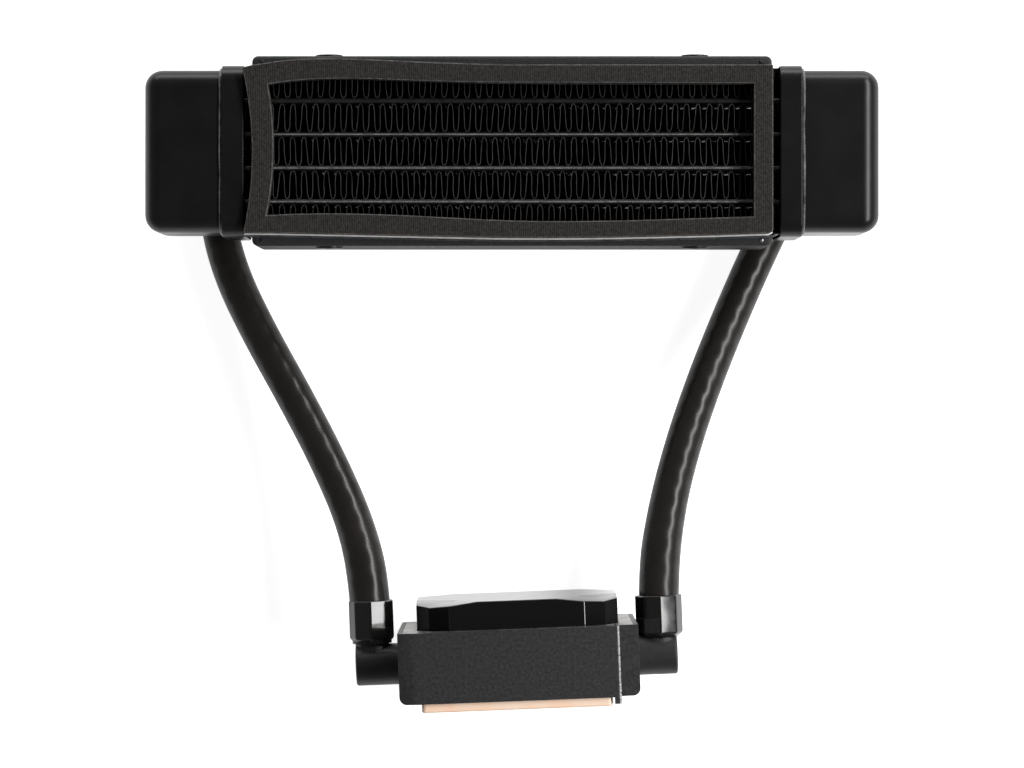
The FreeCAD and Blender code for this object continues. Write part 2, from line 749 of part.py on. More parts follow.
def make_outlet_elbow(side):
    """A short elbow: a post on the tank's back, which the radiator stands on, and a side barb."""
    drop = -OUTLET_BARB_HEIGHT
    post = cylinder(OUTLET_POST_RADIUS, RADIATOR_RAISE, (0, 0, drop), Z_AXIS)
    foot = edges_at(post, lambda c: c.z < drop + 0.01)
    post = post.makeChamfer(OUTLET_POST_CHAMFER, foot)
    spigot_length = RADIATOR_RAISE + TANK_WALL + OUTLET_SPIGOT_INSIDE
    spigot = cylinder(OUTLET_SPIGOT_RADIUS, spigot_length, (0, 0, drop), Z_AXIS)
    rise = cylinder(PASSAGE_RADIUS, spigot_length + 1, (0, 0, -PASSAGE_RADIUS / 2), Z_AXIS)
    whole = fused([post, spigot, barb(OUTLET_SHOULDER, BARB_LENGTH)])
    whole = whole.cut(rise).cut(barb_passage(OUTLET_SHOULDER, BARB_LENGTH))
    return on_outlet(whole, side)


def barb_reach(side):
    return HOUSING_LENGTH / 2 + (LEFT_BARB_FROM_SIDE if side < 0 else RIGHT_BARB_FROM_SIDE)


def on_swivel(shape, side):
    """Moves a shape drawn along X to the upward barb of one swivel elbow."""
    turned = shape.copy()
    turned.rotate(vector(0, 0, 0), Z_AXIS, 90)
    return on_block(turned.translated(vector(side * barb_reach(side), 0, 0)))


def block_point(u, v):
    roll = math.radians(BLOCK_ROLL)
    return (
        BLOCK_X + u * math.cos(roll) - v * math.sin(roll),
        BLOCK_Y + u * math.sin(roll) + v * math.cos(roll),
        BLOCK_Z,
    )


def swivel_point(side, distance):
    return block_point(side * barb_reach(side), distance)


def make_swivel_elbow(side):
    """A barrel that turns in the housing's side, with a spigot inside and a barb outside."""
    start = HOUSING_LENGTH / 2 + SIDE_PLAY
    end = barb_reach(side) + BARREL_PAST_BARB
    barrel = cylinder(BARREL_RADIUS, end - start, (start, 0, 0), X_AXIS)
    barrel = barrel.makeFillet(BARREL_ROUND, edges_at(barrel, lambda c: c.x > end - 0.01))
    tip = HOUSING_LENGTH / 2 - SPIGOT_LENGTH
    spigot = cylinder(SPIGOT_RADIUS, start - tip + 1, (tip, 0, 0), X_AXIS)
    middle = tip + RING_FROM_END
    groove_width = 2.2 * RING_SECTION
    groove_start = (middle - groove_width / 2, 0, 0)
    groove = cylinder(SPIGOT_RADIUS + 1, groove_width, groove_start, X_AXIS)
    groove = groove.cut(cylinder(RING_GROOVE_FLOOR, groove_width, groove_start, X_AXIS))
    tail = barb(SWIVEL_SHOULDER, BARB_LENGTH)
    tail.rotate(vector(0, 0, 0), Z_AXIS, 90)
    tail = tail.translated(vector(barb_reach(side), 0, 0))
    passage = barb_passage(SWIVEL_SHOULDER, BARB_LENGTH)
    passage.rotate(vector(0, 0, 0), Z_AXIS, 90)
    passage = passage.translated(vector(barb_reach(side), 0, 0))
    along = cylinder(PASSAGE_RADIUS, barb_reach(side) - tip + 1, (tip - 1, 0, 0), X_AXIS)
    whole = fused([barrel, spigot.cut(groove), tail]).cut(along).cut(passage)
    return on_block(mirrored(whole, x=side < 0))


def make_swivel_rings():
    """The rubber ring that seals each swivel elbow in its bore."""
    rings = []
    tip = HOUSING_LENGTH / 2 - SPIGOT_LENGTH
    for side in (-1, 1):
        place = vector(side * (tip + RING_FROM_END), 0, 0)
        ring = Part.makeTorus(SPIGOT_RADIUS - RING_SECTION, RING_SECTION, place, X_AXIS)
        rings.append(on_block(ring))
    return Part.makeCompound(rings)


def hose_points(side, middle):
    """The route from the outlet barb's shoulder to the swivel barb's shoulder."""
    start = [
        outlet_point(side, OUTLET_SHOULDER),
        outlet_point(side, OUTLET_SHOULDER + HOSE_END_RUN),
    ]
    end = [
        swivel_point(side, SWIVEL_SHOULDER + HOSE_END_RUN),
        swivel_point(side, SWIVEL_SHOULDER),
    ]
    between = []
    for share, aside, above in middle:
        x, y, z = [a + (b - a) * share for a, b in zip(start[0], end[1])]
        between.append((x + aside, y, z + above))
    return start + between + end


# Pump block, drawn about the swivel axis


def housing_outline(inset):
    """The housing seen from its cap, as (x, z), with the notch and chamfer of its front corners."""
    left = -HOUSING_LENGTH / 2 + inset
    right = HOUSING_LENGTH / 2 - inset
    back = -HOUSING_DEPTH / 2 + inset
    front = HOUSING_DEPTH / 2 - inset
    notch_x = right - NOTCH_LENGTH
    notch_z = front - NOTCH_DEPTH
    return [
        (left, back),
        (right, back),
        (right, notch_z),
        (notch_x, notch_z),
        (notch_x, front),
        (left + FRONT_CHAMFER_LENGTH, front),
        (left, front - FRONT_CHAMFER_DEPTH),
    ]


def cap_outline(grow):
    """The cap seen from above, as (x, z): a rectangle with cut corners, the front ones bent."""
    half_x = CAP_LENGTH / 2 + grow
    half_z = CAP_DEPTH / 2 + grow
    cut = CAP_CORNER + grow * (2 - math.sqrt(2))
    bend = cut / 2 - CAP_CORNER_BULGE
    return [
        (-half_x + cut, -half_z),
        (half_x - cut, -half_z),
        (half_x, -half_z + cut),
        (half_x, half_z - cut),
        (half_x - bend, half_z - bend),
        (half_x - cut, half_z),
        (-half_x + cut, half_z),
        (-half_x + bend, half_z - bend),
        (-half_x, half_z - cut),
        (-half_x, -half_z + cut),
    ]


def corner_places(x, z, shift=0.0):
    return [(shift + a * x, b * z) for a in (-1, 1) for b in (-1, 1)]


def upright(radius, start, end, x=0.0, z=0.0):
    """A cylinder along the block's height."""
    return cylinder(radius, end - start, (x, start, z), Y_AXIS)


def centred_box(length, depth, start, end, x=0.0, z=0.0):
    return box((x - length / 2, start, z - depth / 2), (x + length / 2, end, z + depth / 2))


def seal_ring(room, height):
    """The cold plate seal, or the groove for it with some room on both sides."""
    outer = centred_box(SEAL_LENGTH + 2 * room, SEAL_DEPTH + 2 * room, FLOOR_V, FLOOR_V + height)
    outer = outer.makeFillet(SEAL_CORNER + room, edges_along(outer, Y_AXIS, lambda c: True))
    length = SEAL_LENGTH - 2 * SEAL_WIDTH - 2 * room
    depth = SEAL_DEPTH - 2 * SEAL_WIDTH - 2 * room
    inner = centred_box(length, depth, FLOOR_V - 1, FLOOR_V + height + 1)
    inner_corner = SEAL_CORNER - SEAL_WIDTH - room
    inner = inner.makeFillet(inner_corner, edges_along(inner, Y_AXIS, lambda c: True))
    return outer.cut(inner)


def cold_plate_corners():
    return corner_places(
        COLD_PLATE_LENGTH / 2 - PLATE_SCREW_INSET,
        COLD_PLATE_DEPTH / 2 - PLATE_SCREW_INSET,
        COLD_PLATE_SHIFT,
    )


def make_housing():
    """The moulded pump housing with its chambers, bores, grooves and screw holes."""
    body = prism(housing_outline(0), FLOOR_V, TOP_V, "y")
    half = HOUSING_LENGTH / 2
    back = -HOUSING_DEPTH / 2
    front = HOUSING_DEPTH / 2
    notch_x = half - NOTCH_LENGTH
    rounded = edges_along(body, Y_AXIS, lambda c: c.z < back + 0.01)
    rounded += edges_along(body, Z_AXIS, lambda c: abs(c.x) > half - 0.01 and c.y < FLOOR_V + 0.01)
    body = body.makeFillet(HOUSING_ROUND, rounded)
    corner = edges_along(body, Y_AXIS, lambda c: abs(c.x - notch_x) < 0.01 and c.z > front - 0.01)
    body = body.makeFillet(NOTCH_EDGE, corner)
    lug = box(
        (notch_x - LUG_LENGTH, FLOOR_V - LUG_HEIGHT, front - LUG_DEPTH),
        (notch_x, FLOOR_V + 1, front),
    )
    corner = edges_along(lug, Y_AXIS, lambda c: c.x > notch_x - 0.01 and c.z > front - 0.01)
    lug = lug.makeFillet(NOTCH_EDGE, corner)
    body = fused([body, lug])

    body = body.cut(prism(housing_outline(RIM_WIDTH), RECESS_V, TOP_V + 1, "y"))
    body = body.cut(centred_box(FIN_POCKET_LENGTH, FIN_POCKET_DEPTH, FLOOR_V - 1, POCKET_TOP_V))
    body = body.cut(seal_ring(SEAL_ROOM, SEAL_HEIGHT))
    body = body.cut(upright(VOLUTE_RADIUS, VOLUTE_FLOOR_V, LEDGE_V + 0.5))
    body = body.cut(upright(MOTOR_RADIUS, LEDGE_V, RECESS_V + 1))
    body = body.cut(upright(SHAFT_RADIUS, VOLUTE_FLOOR_V - SHAFT_SEAT_DEPTH, VOLUTE_FLOOR_V + 1))
    for z in (-SUCTION_HOLE_OFFSET, SUCTION_HOLE_OFFSET):
        body = body.cut(upright(SUCTION_HOLE_RADIUS, POCKET_TOP_V - 0.5, VOLUTE_FLOOR_V + 0.5, 0, z))

    bore = SPIGOT_RADIUS + RUNNING_FIT
    body = body.cut(cylinder(bore, BORE_DEPTH + 1, (-half - 1, 0, 0), X_AXIS))
    body = body.cut(cylinder(bore, BORE_DEPTH + 1, (half - BORE_DEPTH, 0, 0), X_AXIS))
    for passage in housing_passages():
        body = body.cut(passage)

    for x, z in corner_places(CORNER_SCREW_X, CORNER_SCREW_Z):
        body = body.cut(upright(CORNER_SCREW_SHANK, RECESS_V - CORNER_SCREW_LENGTH, RECESS_V + 1, x, z))
    for x, z in cold_plate_corners():
        body = body.cut(upright(PLATE_SCREW_SHANK, FLOOR_V - 1, FLOOR_V + PLATE_SCREW_LENGTH, x, z))
    body = body.cut(cable_slot())
    return on_block(body)


def housing_passages():
    """The slanted inlet from the left bore to the fin pocket, and the outlet to the right bore."""
    bore_end = HOUSING_LENGTH / 2 - BORE_DEPTH
    start = vector(-bore_end - PASSAGE_RADIUS, -PASSAGE_RADIUS, 0)
    end = vector(-FIN_POCKET_LENGTH / 2 + 1, FLOOR_V + INLET_PASSAGE_HEIGHT, 0)
    run = end - start
    inlet = Part.makeCylinder(PASSAGE_RADIUS, run.Length, start, run)
    height = (VOLUTE_FLOOR_V + LEDGE_V) / 2
    outlet_length = bore_end - VOLUTE_RADIUS + 3
    outlet = cylinder(PASSAGE_RADIUS, outlet_length, (VOLUTE_RADIUS - 1.5, height, 0), X_AXIS)
    return [inlet, outlet]


def cable_slot():
    """The slot in the rear wall that lets the pump's cable in, under the retention plate."""
    back = -HOUSING_DEPTH / 2
    reach = -math.sqrt(MOTOR_RADIUS ** 2 - (abs(INLET_X) + INLET_WIDTH / 2) ** 2)
    low = (INLET_X - INLET_WIDTH / 2, RECESS_V - INLET_HEIGHT, back - 1)
    high = (INLET_X + INLET_WIDTH / 2, RECESS_V, reach + 1)
    return box(low, high)


def make_grommet():
    """The rubber grommet in the cable slot, flush with the wall."""
    back = -HOUSING_DEPTH / 2
    body = box(
        (INLET_X - INLET_WIDTH / 2, RECESS_V - INLET_HEIGHT, back),
        (INLET_X + INLET_WIDTH / 2, RECESS_V, back + GROMMET_LENGTH),
    )
    hole = cylinder(
        GROMMET_HOLE_RADIUS,
        GROMMET_LENGTH + 2,
        (INLET_X, RECESS_V - INLET_HEIGHT / 2, back - 1),
        Z_AXIS,
    )
    return on_block(body.cut(hole))


def make_cold_plate():
    """The copper plate, with thin fins on its wet side and countersunk screw holes."""
    low = FLOOR_V - COLD_PLATE_THICKNESS
    plate = centred_box(COLD_PLATE_LENGTH, COLD_PLATE_DEPTH, low, FLOOR_V, COLD_PLATE_SHIFT)
    plate = plate.makeFillet(1.0, edges_along(plate, Y_AXIS, lambda c: True))
    plate = plate.makeChamfer(COLD_PLATE_EDGE, edges_at(plate, lambda c: c.y < low + 0.01))
    fins = []
    for index in range(COPPER_FIN_COUNT):
        x = (index - (COPPER_FIN_COUNT - 1) / 2) * COPPER_FIN_PITCH
        fins.append(
            centred_box(
                COPPER_FIN_THICKNESS,
                FIN_POCKET_DEPTH - 2 * COPPER_FIN_FROM_WALL,
                FLOOR_V - 0.1,
                FLOOR_V + COPPER_FIN_HEIGHT,
                x,
            )
        )
    plate = fused([plate] + fins)
    for x, z in cold_plate_corners():
        plate = plate.cut(plate_screw_shape(x, z, HOLE_ROOM))
    return on_block(plate)


def plate_screw_shape(x, z, grow):
    """A countersunk screw that enters the cold plate from its contact face."""
    low = FLOOR_V - COLD_PLATE_THICKNESS
    head_low = low - 1 if grow > 0 else low + PLATE_SCREW_SUNK
    cone_low = low + PLATE_SCREW_SUNK + 0.3
    cone_height = PLATE_SCREW_HEAD - PLATE_SCREW_SHANK
    head = upright(PLATE_SCREW_HEAD + grow, head_low, cone_low, x, z)
    cone = Part.makeCone(
        PLATE_SCREW_HEAD + grow, PLATE_SCREW_SHANK + grow, cone_height, vector(x, cone_low, z), Y_AXIS
    )
    end = FLOOR_V + 1 if grow > 0 else FLOOR_V + PLATE_SCREW_LENGTH
    shank = upright(PLATE_SCREW_SHANK + grow, cone_low, end, x, z)
    return fused([head, cone, shank])


def make_plate_screws():
    screws = []
    for x, z in cold_plate_corners():
        screw = plate_screw_shape(x, z, 0)
        low = FLOOR_V - COLD_PLATE_THICKNESS + PLATE_SCREW_SUNK
        socket = centred_box(0.5, 2.4, low - 1, low + 0.5, x, z)
        cross = centred_box(2.4, 0.5, low - 1, low + 0.5, x, z)
        screws.append(on_block(screw.cut(socket).cut(cross)))
    return Part.makeCompound(screws)


def make_jet_plate():
    """The plate under the pocket's ceiling, whose slot gathers the coolant from the fins."""
    plate = centred_box(
        FIN_POCKET_LENGTH - 2 * PUSH_FIT,
        FIN_POCKET_DEPTH - 2 * PUSH_FIT,
        POCKET_TOP_V - JET_PLATE_THICKNESS,
        POCKET_TOP_V,
    )
    slot_length = FIN_POCKET_DEPTH - 2 * JET_SLOT_FROM_END
    slot = centred_box(JET_SLOT_WIDTH, slot_length, FLOOR_V, POCKET_TOP_V + 1)
    slot = slot.makeFillet(JET_SLOT_WIDTH * 0.4, edges_along(slot, Y_AXIS, lambda c: True))
    return on_block(plate.cut(slot))


def corner_screw_shape(x, z, grow):
    """A countersunk screw that lies flush in the retention plate."""
    top = TOP_V if grow > 0 else TOP_V - CORNER_SCREW_SUNK
    cone_height = CORNER_SCREW_HEAD - CORNER_SCREW_SHANK
    cone_low = TOP_V - CORNER_SCREW_SUNK - cone_height
    rim = upright(CORNER_SCREW_HEAD + grow, cone_low + cone_height - 0.01, top, x, z)
    cone = Part.makeCone(
        CORNER_SCREW_SHANK + grow, CORNER_SCREW_HEAD + grow, cone_height, vector(x, cone_low, z), Y_AXIS
    )
    low = RECESS_V - 1 if grow > 0 else RECESS_V - CORNER_SCREW_LENGTH
    shank = upright(CORNER_SCREW_SHANK + grow, low, cone_low + 0.01, x, z)
    return fused([rim, cone, shank])


def make_retention_plate():
    """The flat steel plate let into the housing's top, around the cap."""
    plate = prism(housing_outline(RIM_WIDTH + PUSH_FIT), RECESS_V, TOP_V, "y")
    plate = plate.cut(prism(cap_outline(CAP_PLATE_ROOM), RECESS_V - 1, TOP_V + 1, "y"))
    for x, z in corner_places(CORNER_SCREW_X, CORNER_SCREW_Z):
        plate = plate.cut(corner_screw_shape(x, z, HOLE_ROOM))
    return on_block(plate)


def make_corner_screws():
    """The four countersunk screws that hold the retention plate down."""
    screws = []
    top = TOP_V - CORNER_SCREW_SUNK
    for x, z in corner_places(CORNER_SCREW_X, CORNER_SCREW_Z):
        screw = corner_screw_shape(x, z, 0)
        slot = centred_box(0.5, 2.2, top - 0.5, top + 1, x, z)
        cross = centred_box(2.2, 0.5, top - 0.5, top + 1, x, z)
        screws.append(on_block(screw.cut(slot).cut(cross)))
    return Part.makeCompound(screws)


def cap_facet(side, across):
    """The room above one sloped facet of a front corner of the cap.

    Two facets meet in a valley that runs inwards from the middle of the cut corner.
    One starts on the cap's front and the other on its side.
    """
    half_x = CAP_LENGTH / 2
    half_z = CAP_DEPTH / 2
    bend = CAP_CORNER / 2 - CAP_CORNER_BULGE
    low = (half_x - bend, half_z - bend)
    inner = (low[0] - CAP_FACET_INWARD, low[1] - CAP_FACET_INWARD)
    if across:
        start = (half_x - CAP_CORNER - CAP_FACET_ALONG, half_z)
    else:
        start = (half_x, half_z - CAP_CORNER - CAP_FACET_ALONG)
    past_start = [2 * a - b for a, b in zip(start, inner)]
    past_low = [b + 2.5 * (a - b) for a, b in zip(low, inner)]
    corners = [
        vector(side * past_start[0], CAP_TOP_V, past_start[1]),
        vector(side * inner[0], CAP_TOP_V, inner[1]),
        vector(side * past_low[0], CAP_TOP_V - 2.5 * CAP_FACET_DROP, past_low[1]),
    ]
    face = Part.Face(Part.makePolygon(corners + corners[:1]))
    return face.extrude(vector(0, CAP_RISE, 0))


def make_cap():
    """The hollow cap: a low eight-sided box whose front corners are cut down in facets."""
    cap = prism(cap_outline(0), RECESS_V, CAP_TOP_V, "y")
    hollow = prism(cap_outline(-CAP_WALL), RECESS_V - 1, CAP_TOP_V - CAP_WALL - CAP_FACET_DROP, "y")
    for side in (-1, 1):
        for across in (True, False):
            cap = cap.cut(cap_facet(side, across))
    return on_block(cap.cut(hollow))


def make_can():
    """The separator can: a flange on the volute's ledge and a cup over the rotor magnet."""
    flange = upright(MOTOR_RADIUS - HOLE_ROOM, LEDGE_V, FLANGE_TOP_V)
    cup = upright(CAN_CUP_RADIUS, LEDGE_V, CAN_TOP_V)
    inside_top = CAN_TOP_V - CAN_WALL
    inside = upright(CAN_CUP_RADIUS - CAN_WALL, LEDGE_V - 1, inside_top)
    boss = upright(CAN_BOSS_RADIUS, inside_top - CAN_BOSS_HEIGHT, inside_top + 0.1)
    seat = upright(SHAFT_RADIUS, inside_top - CAN_BOSS_HEIGHT - 1, shaft_top())
    can = fused([fused([flange, cup]).cut(inside), boss])
    return on_block(can.cut(seat))


def shaft_top():
    return CAN_TOP_V - CAN_WALL - CAN_BOSS_HEIGHT + SHAFT_IN_BOSS


def make_shaft():
    """The fixed shaft between the volute's floor and the can's boss."""
    return on_block(upright(SHAFT_RADIUS, VOLUTE_FLOOR_V - SHAFT_SEAT_DEPTH, shaft_top()))


def magnet_top():
    return CAN_TOP_V - CAN_WALL - CAN_BOSS_HEIGHT - MAGNET_TOP_GAP


def make_rotor_bush():
    low = VOLUTE_FLOOR_V + BUSH_END_PLAY
    outer = upright(BUSH_RADIUS, low, magnet_top())
    return on_block(outer.cut(upright(SHAFT_RADIUS + RUNNING_FIT, low - 1, magnet_top() + 1)))


def impeller_low():
    return VOLUTE_FLOOR_V + IMPELLER_CLEARANCE


def impeller_high():
    return impeller_low() + IMPELLER_DISC + BLADE_HEIGHT


def make_impeller():
    """The impeller: a disc with curved blades round a hub that is pressed on the bush."""
    disc = upright(IMPELLER_RADIUS, impeller_low(), impeller_low() + IMPELLER_DISC)
    hub = upright(IMPELLER_HUB_RADIUS, impeller_low(), impeller_high())
    parts = [disc, hub]
    blade_low = impeller_low() + IMPELLER_DISC - 0.1
    turn = math.radians(BLADE_LEAN)
    tip = IMPELLER_RADIUS - 0.3
    root = IMPELLER_HUB_RADIUS - 0.5
    half = BLADE_THICKNESS / 2
    middle = (root + tip) / 2
    for index in range(BLADE_COUNT):
        inner = Part.Arc(
            vector(root, blade_low, -half),
            vector(middle * math.cos(turn * 0.35), blade_low, middle * math.sin(turn * 0.35) - half),
            vector(tip * math.cos(turn), blade_low, tip * math.sin(turn)),
        )
        outer = Part.Arc(
            vector(tip * math.cos(turn), blade_low, tip * math.sin(turn)),
            vector(middle * math.cos(turn * 0.35), blade_low, middle * math.sin(turn * 0.35) + half),
            vector(root, blade_low, half),
        )
        base = Part.LineSegment(vector(root, blade_low, half), vector(root, blade_low, -half))
        wire = Part.Wire([piece.toShape() for piece in (inner, outer, base)])
        blade = Part.Face(wire).extrude(vector(0, BLADE_HEIGHT + 0.1, 0))
        blade.rotate(vector(0, 0, 0), Y_AXIS, index * 360.0 / BLADE_COUNT)
        parts.append(blade)
    whole = fused(parts)
    return on_block(whole.cut(upright(BUSH_RADIUS, impeller_low() - 1, impeller_high() + 1)))


def make_rotor_magnet():
    """The ring magnet on the bush, above the impeller's hub."""
    radius = CAN_CUP_RADIUS - CAN_WALL - MAGNET_AIR_GAP
    ring = upright(radius, impeller_high(), magnet_top())
    return on_block(ring.cut(upright(BUSH_RADIUS, impeller_high() - 1, magnet_top() + 1)))


def stator_pole(grow, start, end, index):
    """One pole of the stator, or the room that a coil's inside takes around it."""
    middle = FLANGE_TOP_V + STATOR_HEIGHT / 2
    half_height = POLE_HEIGHT / 2 + grow
    half_width = POLE_WIDTH / 2 + grow
    pole = box((start, middle - half_height, -half_width), (end, middle + half_height, half_width))
    pole.rotate(vector(0, 0, 0), Y_AXIS, index * 360.0 / POLE_COUNT)
    return pole


def make_stator_core():
    """The laminated ring round the can, with its poles pointing inwards."""
    inside = STATOR_RADIUS - STATOR_YOKE
    top = FLANGE_TOP_V + STATOR_HEIGHT
    ring = upright(STATOR_RADIUS, FLANGE_TOP_V, top).cut(upright(inside, FLANGE_TOP_V - 1, top + 1))
    tip = CAN_CUP_RADIUS + POLE_GAP
    poles = [stator_pole(0, tip, inside + STATOR_YOKE / 2, index) for index in range(POLE_COUNT)]
    core = fused([ring] + poles)
    return on_block(core.cut(upright(tip, FLANGE_TOP_V - 1, top + 1)))


def make_stator_coils():
    """A coil wound on each pole."""
    start = CAN_CUP_RADIUS + POLE_GAP + COIL_START
    end = STATOR_RADIUS - STATOR_YOKE - COIL_END_ROOM
    coils = []
    for index in range(POLE_COUNT):
        outside = stator_pole(COIL_THICKNESS, start, end, index)
        inside = stator_pole(0, start - 1, end + 1, index)
        coils.append(on_block(outside.cut(inside)))
    return Part.makeCompound(coils)


def make_circuit_board():
    """The round motor board on the recess's floor, with its few parts on top."""
    top = RECESS_V + BOARD_THICKNESS
    board = upright(BOARD_RADIUS, RECESS_V, top)
    parts = [board]
    for length, depth, x, z in ((5.0, 4.0, -6.0, 3.0), (3.0, 3.0, 4.0, 6.5), (4.0, 2.0, 5.5, -6.0)):
        parts.append(centred_box(length, depth, top - 0.1, top + BOARD_PART_HEIGHT, x, z))
    return on_block(fused(parts))


def make_all():
    nodes = {}
    tank = make_tank()
    header = make_header()
    nodes["tank_right"] = on_radiator(tank)
    nodes["tank_left"] = on_radiator(mirrored(tank, x=True))
    nodes["header_right"] = on_radiator(header)
    nodes["header_left"] = on_radiator(mirrored(header, x=True))
    for index in range(TUBE_COUNT):
        nodes["coolant_tube_%d" % (index + 1)] = on_radiator(make_tube(index))
    for index in range(TUBE_COUNT + 1):
        nodes["fin_strip_%d" % (index + 1)] = on_radiator(make_fin_strip(index))
    bar = make_side_bar()
    channel = make_channel()
    for name, lower in (("top", False), ("bottom", True)):
        nodes["side_bar_" + name] = on_radiator(mirrored(bar, y=lower))
        nodes["side_channel_" + name] = on_radiator(mirrored(channel, y=lower))
    inserts = [make_insert(x, z) for x, z in insert_places()]
    rivets = [make_rivet(x, y) for x, y in rivet_places()]
    nodes["channel_inserts"] = on_radiator(on_both_sides(inserts))
    nodes["end_rivets"] = on_radiator(on_both_sides(rivets))
    tape = gasket_frame(CHANNEL_FRONT_Z, TAPE_THICKNESS, TAPE_SHOWS)
    foam = gasket_frame(CHANNEL_FRONT_Z + TAPE_THICKNESS, GASKET_THICKNESS, 0.0)
    nodes["gasket_tape"] = on_radiator(tape)
    nodes["foam_gasket"] = on_radiator(foam)

    for side, name, middle in ((-1, "left", LEFT_HOSE_MIDDLE), (1, "right", RIGHT_HOSE_MIDDLE)):
        nodes["outlet_elbow_" + name] = make_outlet_elbow(side)
        nodes["outlet_sleeve_" + name] = on_outlet(make_sleeve(OUTLET_SHOULDER), side)
        nodes["swivel_elbow_" + name] = make_swivel_elbow(side)
        nodes["hose_sleeve_" + name] = on_swivel(make_sleeve(SWIVEL_SHOULDER), side)
        nodes["hose_" + name] = make_hose(hose_points(side, middle), "hose_" + name)
    nodes["swivel_rings"] = make_swivel_rings()

    nodes["pump_housing"] = make_housing()
    nodes["pump_cap"] = make_cap()
    nodes["retention_plate"] = make_retention_plate()
    nodes["retention_screws"] = make_corner_screws()
    nodes["cold_plate"] = make_cold_plate()
    nodes["cold_plate_screws"] = make_plate_screws()
    nodes["cold_plate_seal"] = on_block(seal_ring(0, SEAL_HEIGHT))
    nodes["jet_plate"] = make_jet_plate()
    nodes["separator_can"] = make_can()
    nodes["stator_core"] = make_stator_core()
    nodes["stator_coils"] = make_stator_coils()
    nodes["circuit_board"] = make_circuit_board()
    nodes["pump_shaft"] = make_shaft()
    nodes["rotor_bush"] = make_rotor_bush()
    nodes["impeller"] = make_impeller()
    nodes["rotor_magnet"] = make_rotor_magnet()
    nodes["cable_grommet"] = make_grommet()
    return nodes


os.makedirs("parts", exist_ok=True)
for node, shape in make_all().items():
    shape.exportStep("parts/%s.step" % node)
    solids = shape.Solids
    if not shape.isValid() or not solids or min(solid.Volume for solid in solids) <= 0:
        print("not sound:", node)
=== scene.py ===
import math
import bmesh
import bpy
from mathutils import Matrix, Vector, noise


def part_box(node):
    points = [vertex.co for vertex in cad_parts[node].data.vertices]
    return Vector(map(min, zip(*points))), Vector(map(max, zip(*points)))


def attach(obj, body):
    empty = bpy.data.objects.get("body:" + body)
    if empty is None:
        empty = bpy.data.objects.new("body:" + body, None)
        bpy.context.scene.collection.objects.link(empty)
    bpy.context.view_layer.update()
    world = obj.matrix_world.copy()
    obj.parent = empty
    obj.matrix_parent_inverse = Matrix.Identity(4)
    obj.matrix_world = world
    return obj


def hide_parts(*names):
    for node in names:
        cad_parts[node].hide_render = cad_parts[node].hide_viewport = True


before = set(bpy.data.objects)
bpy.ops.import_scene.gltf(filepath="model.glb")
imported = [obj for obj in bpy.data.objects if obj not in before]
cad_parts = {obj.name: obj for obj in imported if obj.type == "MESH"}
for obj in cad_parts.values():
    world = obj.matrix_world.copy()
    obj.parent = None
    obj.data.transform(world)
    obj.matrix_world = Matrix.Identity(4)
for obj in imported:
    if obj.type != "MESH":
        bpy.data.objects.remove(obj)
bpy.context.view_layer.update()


# Tanks. Each is a box pressed from aluminium sheet, open towards the core and painted satin
# black. It is soldered into the header's collar, and its outlet elbow leaves from its back.

TANK_EDGE = 0.0040
TANK_EDGE_STEPS = 8
TANK_WALL = 0.0015


def paint(name, colour, roughness, specular=0.5, metallic=0.0):
    """A finish of one colour, with its node tree ready for texture."""
    finish = bpy.data.materials.new(name)
    finish.use_nodes = True
    shader = finish.node_tree.nodes["Principled BSDF"]
    shader.inputs["Base Color"].default_value = (*colour, 1.0)
    shader.inputs["Roughness"].default_value = roughness
    shader.inputs["Specular IOR Level"].default_value = specular
    shader.inputs["Metallic"].default_value = metallic
    return finish


def spots(finish, scale, detail=3.0, stretch=(1.0, 1.0, 1.0), turn=(0.0, 0.0, 0.0)):
    """Noise at a scale per metre over the piece, for any of the finish's inputs."""
    nodes, links = finish.node_tree.nodes, finish.node_tree.links
    place = nodes.new("ShaderNodeTexCoord")
    shift = nodes.new("ShaderNodeMapping")
    shift.inputs["Scale"].default_value = stretch
    shift.inputs["Rotation"].default_value = turn
    links.new(place.outputs["Object"], shift.inputs["Vector"])
    texture = nodes.new("ShaderNodeTexNoise")
    texture.inputs["Scale"].default_value = scale
    texture.inputs["Detail"].default_value = detail
    links.new(shift.outputs["Vector"], texture.inputs["Vector"])
    return texture.outputs["Fac"]


def spread(finish, value, low, high, start=0.3, end=0.7):
    """Maps the middle of a noise's range to the range low to high."""
    nodes, links = finish.node_tree.nodes, finish.node_tree.links
    ramp = nodes.new("ShaderNodeMapRange")
    ramp.inputs["From Min"].default_value = start
    ramp.inputs["From Max"].default_value = end
    ramp.inputs["To Min"].default_value = low
    ramp.inputs["To Max"].default_value = high
    links.new(value, ramp.inputs["Value"])
    return ramp.outputs["Result"]


def vary_gloss(finish, value, low, high):
    """Lets a noise vary the roughness."""
    shader = finish.node_tree.nodes["Principled BSDF"]
    finish.node_tree.links.new(spread(finish, value, low, high), shader.inputs["Roughness"])


def vary_colour(finish, value, dark, light):
    """Mixes two colours by a noise."""
    nodes, links = finish.node_tree.nodes, finish.node_tree.links
    mix = nodes.new("ShaderNodeMix")
    mix.data_type = "RGBA"
    mix.inputs["A"].default_value = (*dark, 1.0)
    mix.inputs["B"].default_value = (*light, 1.0)
    links.new(spread(finish, value, 0.0, 1.0), mix.inputs["Factor"])
    links.new(mix.outputs["Result"], nodes["Principled BSDF"].inputs["Base Color"])


